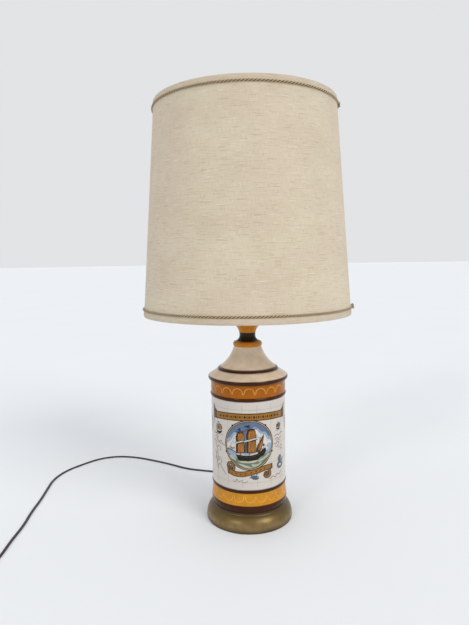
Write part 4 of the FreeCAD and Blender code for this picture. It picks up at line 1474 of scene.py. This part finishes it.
def tape_cloth():
    """The shade's own cloth cut into a tape, a little darker, with fine cross ribs."""
    finish = Finish("trim_tape", Sheen_Weight=0.2, Specular_IOR_Level=0.2)
    cloth = finish.around(CLOTH_RADIUS)
    ribs = finish.wave(0.9 * MM, finish.parts(cloth)[0])
    colour, weft, slub = linen_tones(finish, cloth, srgb(202, 190, 166), srgb(182, 167, 142))
    shaded = finish.mix(finish.calc("MULTIPLY", ribs, 0.12), colour, srgb(146, 128, 100))
    relief = finish.calc("ADD", ribs, weft)
    return finish.finish(shaded, finish.spread(slub, 0.82, 0.95), relief, 0.2 * MM)


def make_tape(name, node, edge, cloth):
    """A tape folded over the shade's edge: 13 mm outside, round the rim, 9 mm inside."""
    low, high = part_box(node)
    bottom = edge == "bottom"
    rim = low.z if bottom else high.z
    inward = 1 if bottom else -1
    width = (high.z - low.z) / MM
    wave_depth = 0.12 * MM
    # In millimetres: where the shade's radius is taken, how far out from it, and how far in
    # from the rim. The shade's wall is 1.6 mm thick there, and the tape 0.75 mm.
    fold = [
        (width, 0.05, width), (width, 0.75, width - 0.4), (width / 2, 0.87, width / 2),
        (0, 0.75, 0.8), (0, 0.1, -0.56), (0, -0.8, -0.7), (0, -1.8, -0.49), (0, -2.35, 0.9),
        (0, -5.55, 1.6), (0, -5.55, 2.2), (0, -2.75, 4.4), (9, -2.0, 9), (9, -1.5, 9),
        (0, -1.5, 0.5), (0, 0.05, 0.5),
    ]
    outline = [
        (shade_radius(rim + inward * taken * MM) + out * MM, rim + inward * up * MM)
        for taken, out, up in fold
    ]
    if not bottom:
        outline.reverse()

    def outline_at(angle):
        """The fold, a little wavy."""
        return [
            (r + wave_depth * math.sin(23 * angle + 90 * z) * math.sin(7 * angle), z)
            for r, z in outline
        ]

    steps = 300
    points, faces = turned([TURN * step / steps for step in range(steps)], outline_at)
    tape = make_piece(name, points, faces, "shade", [cloth], sharp=60)
    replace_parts(tape, node)


def yarn(name, light, dark):
    finish = Finish(name, Sheen_Weight=0.4, Specular_IOR_Level=0.3)
    fibre = finish.noise(900.0, 3.0)
    return finish.finish(finish.clouded(fibre, light, dark), 0.7, fibre, 0.15 * MM)


def lay_strands(name, strand_path, strand, yarns, up=UP, closed=False):
    """Four strands, dark and gold by turns, each swept along its own path."""
    points, faces, kinds = [], [], []
    for number in range(4):
        path = strand_path(TURN * number / 4)
        more_points, more_faces = sweep(path, ring(strand, 6), up, closed)
        add_part(points, faces, more_points, more_faces)
        kinds += [number % 2] * len(more_faces)
    return make_piece(name, points, faces, "shade", yarns, kinds, sharp=80)


def make_rope(name, node, yarns):
    """A four-strand twisted cord, laid on the tape."""
    low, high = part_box(node)
    height = (low.z + high.z) / 2
    strand = 0.95 * MM
    lay = 1.25 * MM
    lay_length = 13.0 * MM
    reach = high.x - strand - lay + 0.1 * MM
    turns = round(TURN * reach / lay_length)
    steps = turns * 9

    def strand_path(phase):
        path = []
        for step in range(steps):
            angle = TURN * step / steps
            twist = angle * turns + phase
            radius = reach + lay * math.cos(twist)
            above = height + lay * math.sin(twist)
            path.append(Vector((radius * math.sin(angle), -radius * math.cos(angle), above)))
        return path

    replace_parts(lay_strands(name, strand_path, strand, yarns, closed=True), node)


def make_rope_end(name, node, degrees, run, yarns):
    """Where the twisted cord's ends meet at the side: one is tucked, one stands out.

    Its run is in millimetres: along the rim, out from the shade, and up.
    """
    low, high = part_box(node)
    angle = math.radians(degrees)
    outward = facing(angle)
    along = facing(angle + TURN / 4)
    centre = outward * (high.x - 1.2 * MM) + UP * (low.z + high.z) / 2
    middle = through(run, 5)
    last = len(middle) - 1
    turns = 1.6

    def strand_path(phase):
        """One strand, standing further from the others towards the end."""
        path = []
        for index, spot in enumerate(middle):
            share = index / last
            twist = share * TURN * turns + phase
            loose = 0.9 + 0.7 * share
            path.append(
                centre
                + along * (spot.x + 0.5 * math.cos(twist)) * MM
                + outward * (spot.y + loose * math.cos(twist)) * MM
                + UP * (spot.z + loose * math.sin(twist)) * MM
            )
        return path

    lay_strands(name, strand_path, 0.8 * MM, yarns, up=along)


def make_shade():
    fabric = make_fabric()
    cloth = tape_cloth()
    make_tape("hem_tape", "bottom_tape", "bottom", cloth)
    make_tape("crown_tape", "top_tape", "top", cloth)
    yarns = [
        yarn("braid_dark", srgb(58, 44, 28), srgb(36, 26, 18)),
        yarn("braid_gold", srgb(206, 180, 134), srgb(176, 148, 102)),
    ]
    turned_up = [
        (-6, 0, 0), (-3, 0.4, 2.2), (0, 0.9, 4.0), (1.6, 1.9, 3.2), (2.4, 3.0, 0.2), (2, 3.0, -3.2),
    ]
    hanging = [
        (-6, 0, 0), (-2, 1.0, 0.8), (0.6, 1.6, 0.2), (1.4, 0.6, -1.8), (1.2, 1.3, -3.8),
        (0.6, 0.9, -5.6),
    ]
    for edge, node, degrees, run in (
        ("hem", "bottom_braid", 80, turned_up),
        ("crown", "top_braid", 76, hanging),
    ):
        make_rope(edge + "_rope", node, yarns)
        make_rope_end(edge + "_rope_end", node, degrees, run, yarns)


# ------------------------------------------------------------ small fittings


def make_switch_knob(bakelite):
    """A fluted key knob, turned out of the CAD knob's box."""
    low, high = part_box("switch_knob")
    centre = Vector(((low.x + high.x) / 2, 0, (low.z + high.z) / 2))
    radius = (high.x - low.x) / 2
    outline = [
        (high.y - back * MM, share)
        for back, share in ((0, 0.69), (0.6, 0.74), (3.4, 0.78), (4.6, 0.93), (5.4, 0.98))
    ]
    outline += [
        (low.y + ahead * MM, share)
        for ahead, share in (
            (2.4, 0.98), (1.0, 0.94), (0.3, 0.84), (0, 0.7), (0.5, 0.5), (0.9, 0.12),
        )
    ]
    flutes = 18
    flute_depth = 0.055
    count = flutes * 8
    points = []
    for along, share in outline:
        fluted = flute_depth if share > 0.9 else 0
        for step in range(count):
            angle = TURN * step / count
            dip = fluted * (0.5 + 0.5 * math.cos(flutes * angle))
            reach = radius * (share - dip)
            points.append(centre + Vector((reach * math.cos(angle), along, reach * math.sin(angle))))
    faces = grid_faces(len(outline), count, False, True)
    faces.append(tuple(range(count)))
    faces.append(tuple(range(len(points) - 1, len(points) - count - 1, -1)))
    knob = make_piece("fluted_knob", points, faces, "switch", [bakelite], sharp=35)
    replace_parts(knob, "switch_knob")


def dress_cad_nodes():
    """Gives every CAD node that still shows the material of its slot."""
    brass = metal("bright_brass", srgb(214, 178, 106), srgb(176, 140, 78), 0.22, 0.38)
    bakelite = moulded("bakelite", srgb(34, 26, 22), srgb(22, 18, 16), 0.28)
    rubber = bpy.data.materials["cord_vinyl_brown"]
    slots = {
        "antique_brass": antique_brass(),
        "bright_brass": brass,
        "felt": felt(),
        "glazed_ceramic": glaze(),
        "zinc_steel": metal("zinc_steel", srgb(178, 182, 186), srgb(140, 144, 150), 0.3, 0.5),
        "bakelite": bakelite,
        "fibre_sleeve": moulded("fibre_sleeve", srgb(120, 92, 66), srgb(92, 70, 52), 0.75, 600.0),
        "screw_shell_metal": metal(
            "screw_shell_metal", srgb(206, 202, 194), srgb(170, 164, 152), 0.25, 0.4
        ),
        "bulb_glass": bulb_glass(),
        "filament": metal("filament", srgb(120, 120, 124), srgb(90, 90, 96), 0.4, 0.6),
        "black_glass": moulded("black_glass", srgb(18, 16, 22), srgb(28, 24, 34), 0.12),
        "shade_liner": liner_plastic(),
        "white_wire": wire_enamel(),
        "cord_vinyl": rubber,
    }
    for subpart in frame["record"]["subparts"]:
        node = frame["nodes"][subpart["node"]]
        material = slots.get(subpart["material_slot"])
        if material:
            node.data.materials.clear()
            node.data.materials.append(material)
    make_switch_knob(bakelite)


make_camera()
make_cord_set()
make_stage()
make_light("key", (3.6, -3.8, 3.8), softness=28, strength=1.1, colour=(1.0, 0.98, 0.95))
make_light("side", (-2.6, -3.4, 2.3), softness=12, strength=0.34, colour=(1.0, 0.98, 0.96))
dress_cad_nodes()
make_transfer()
make_shade()
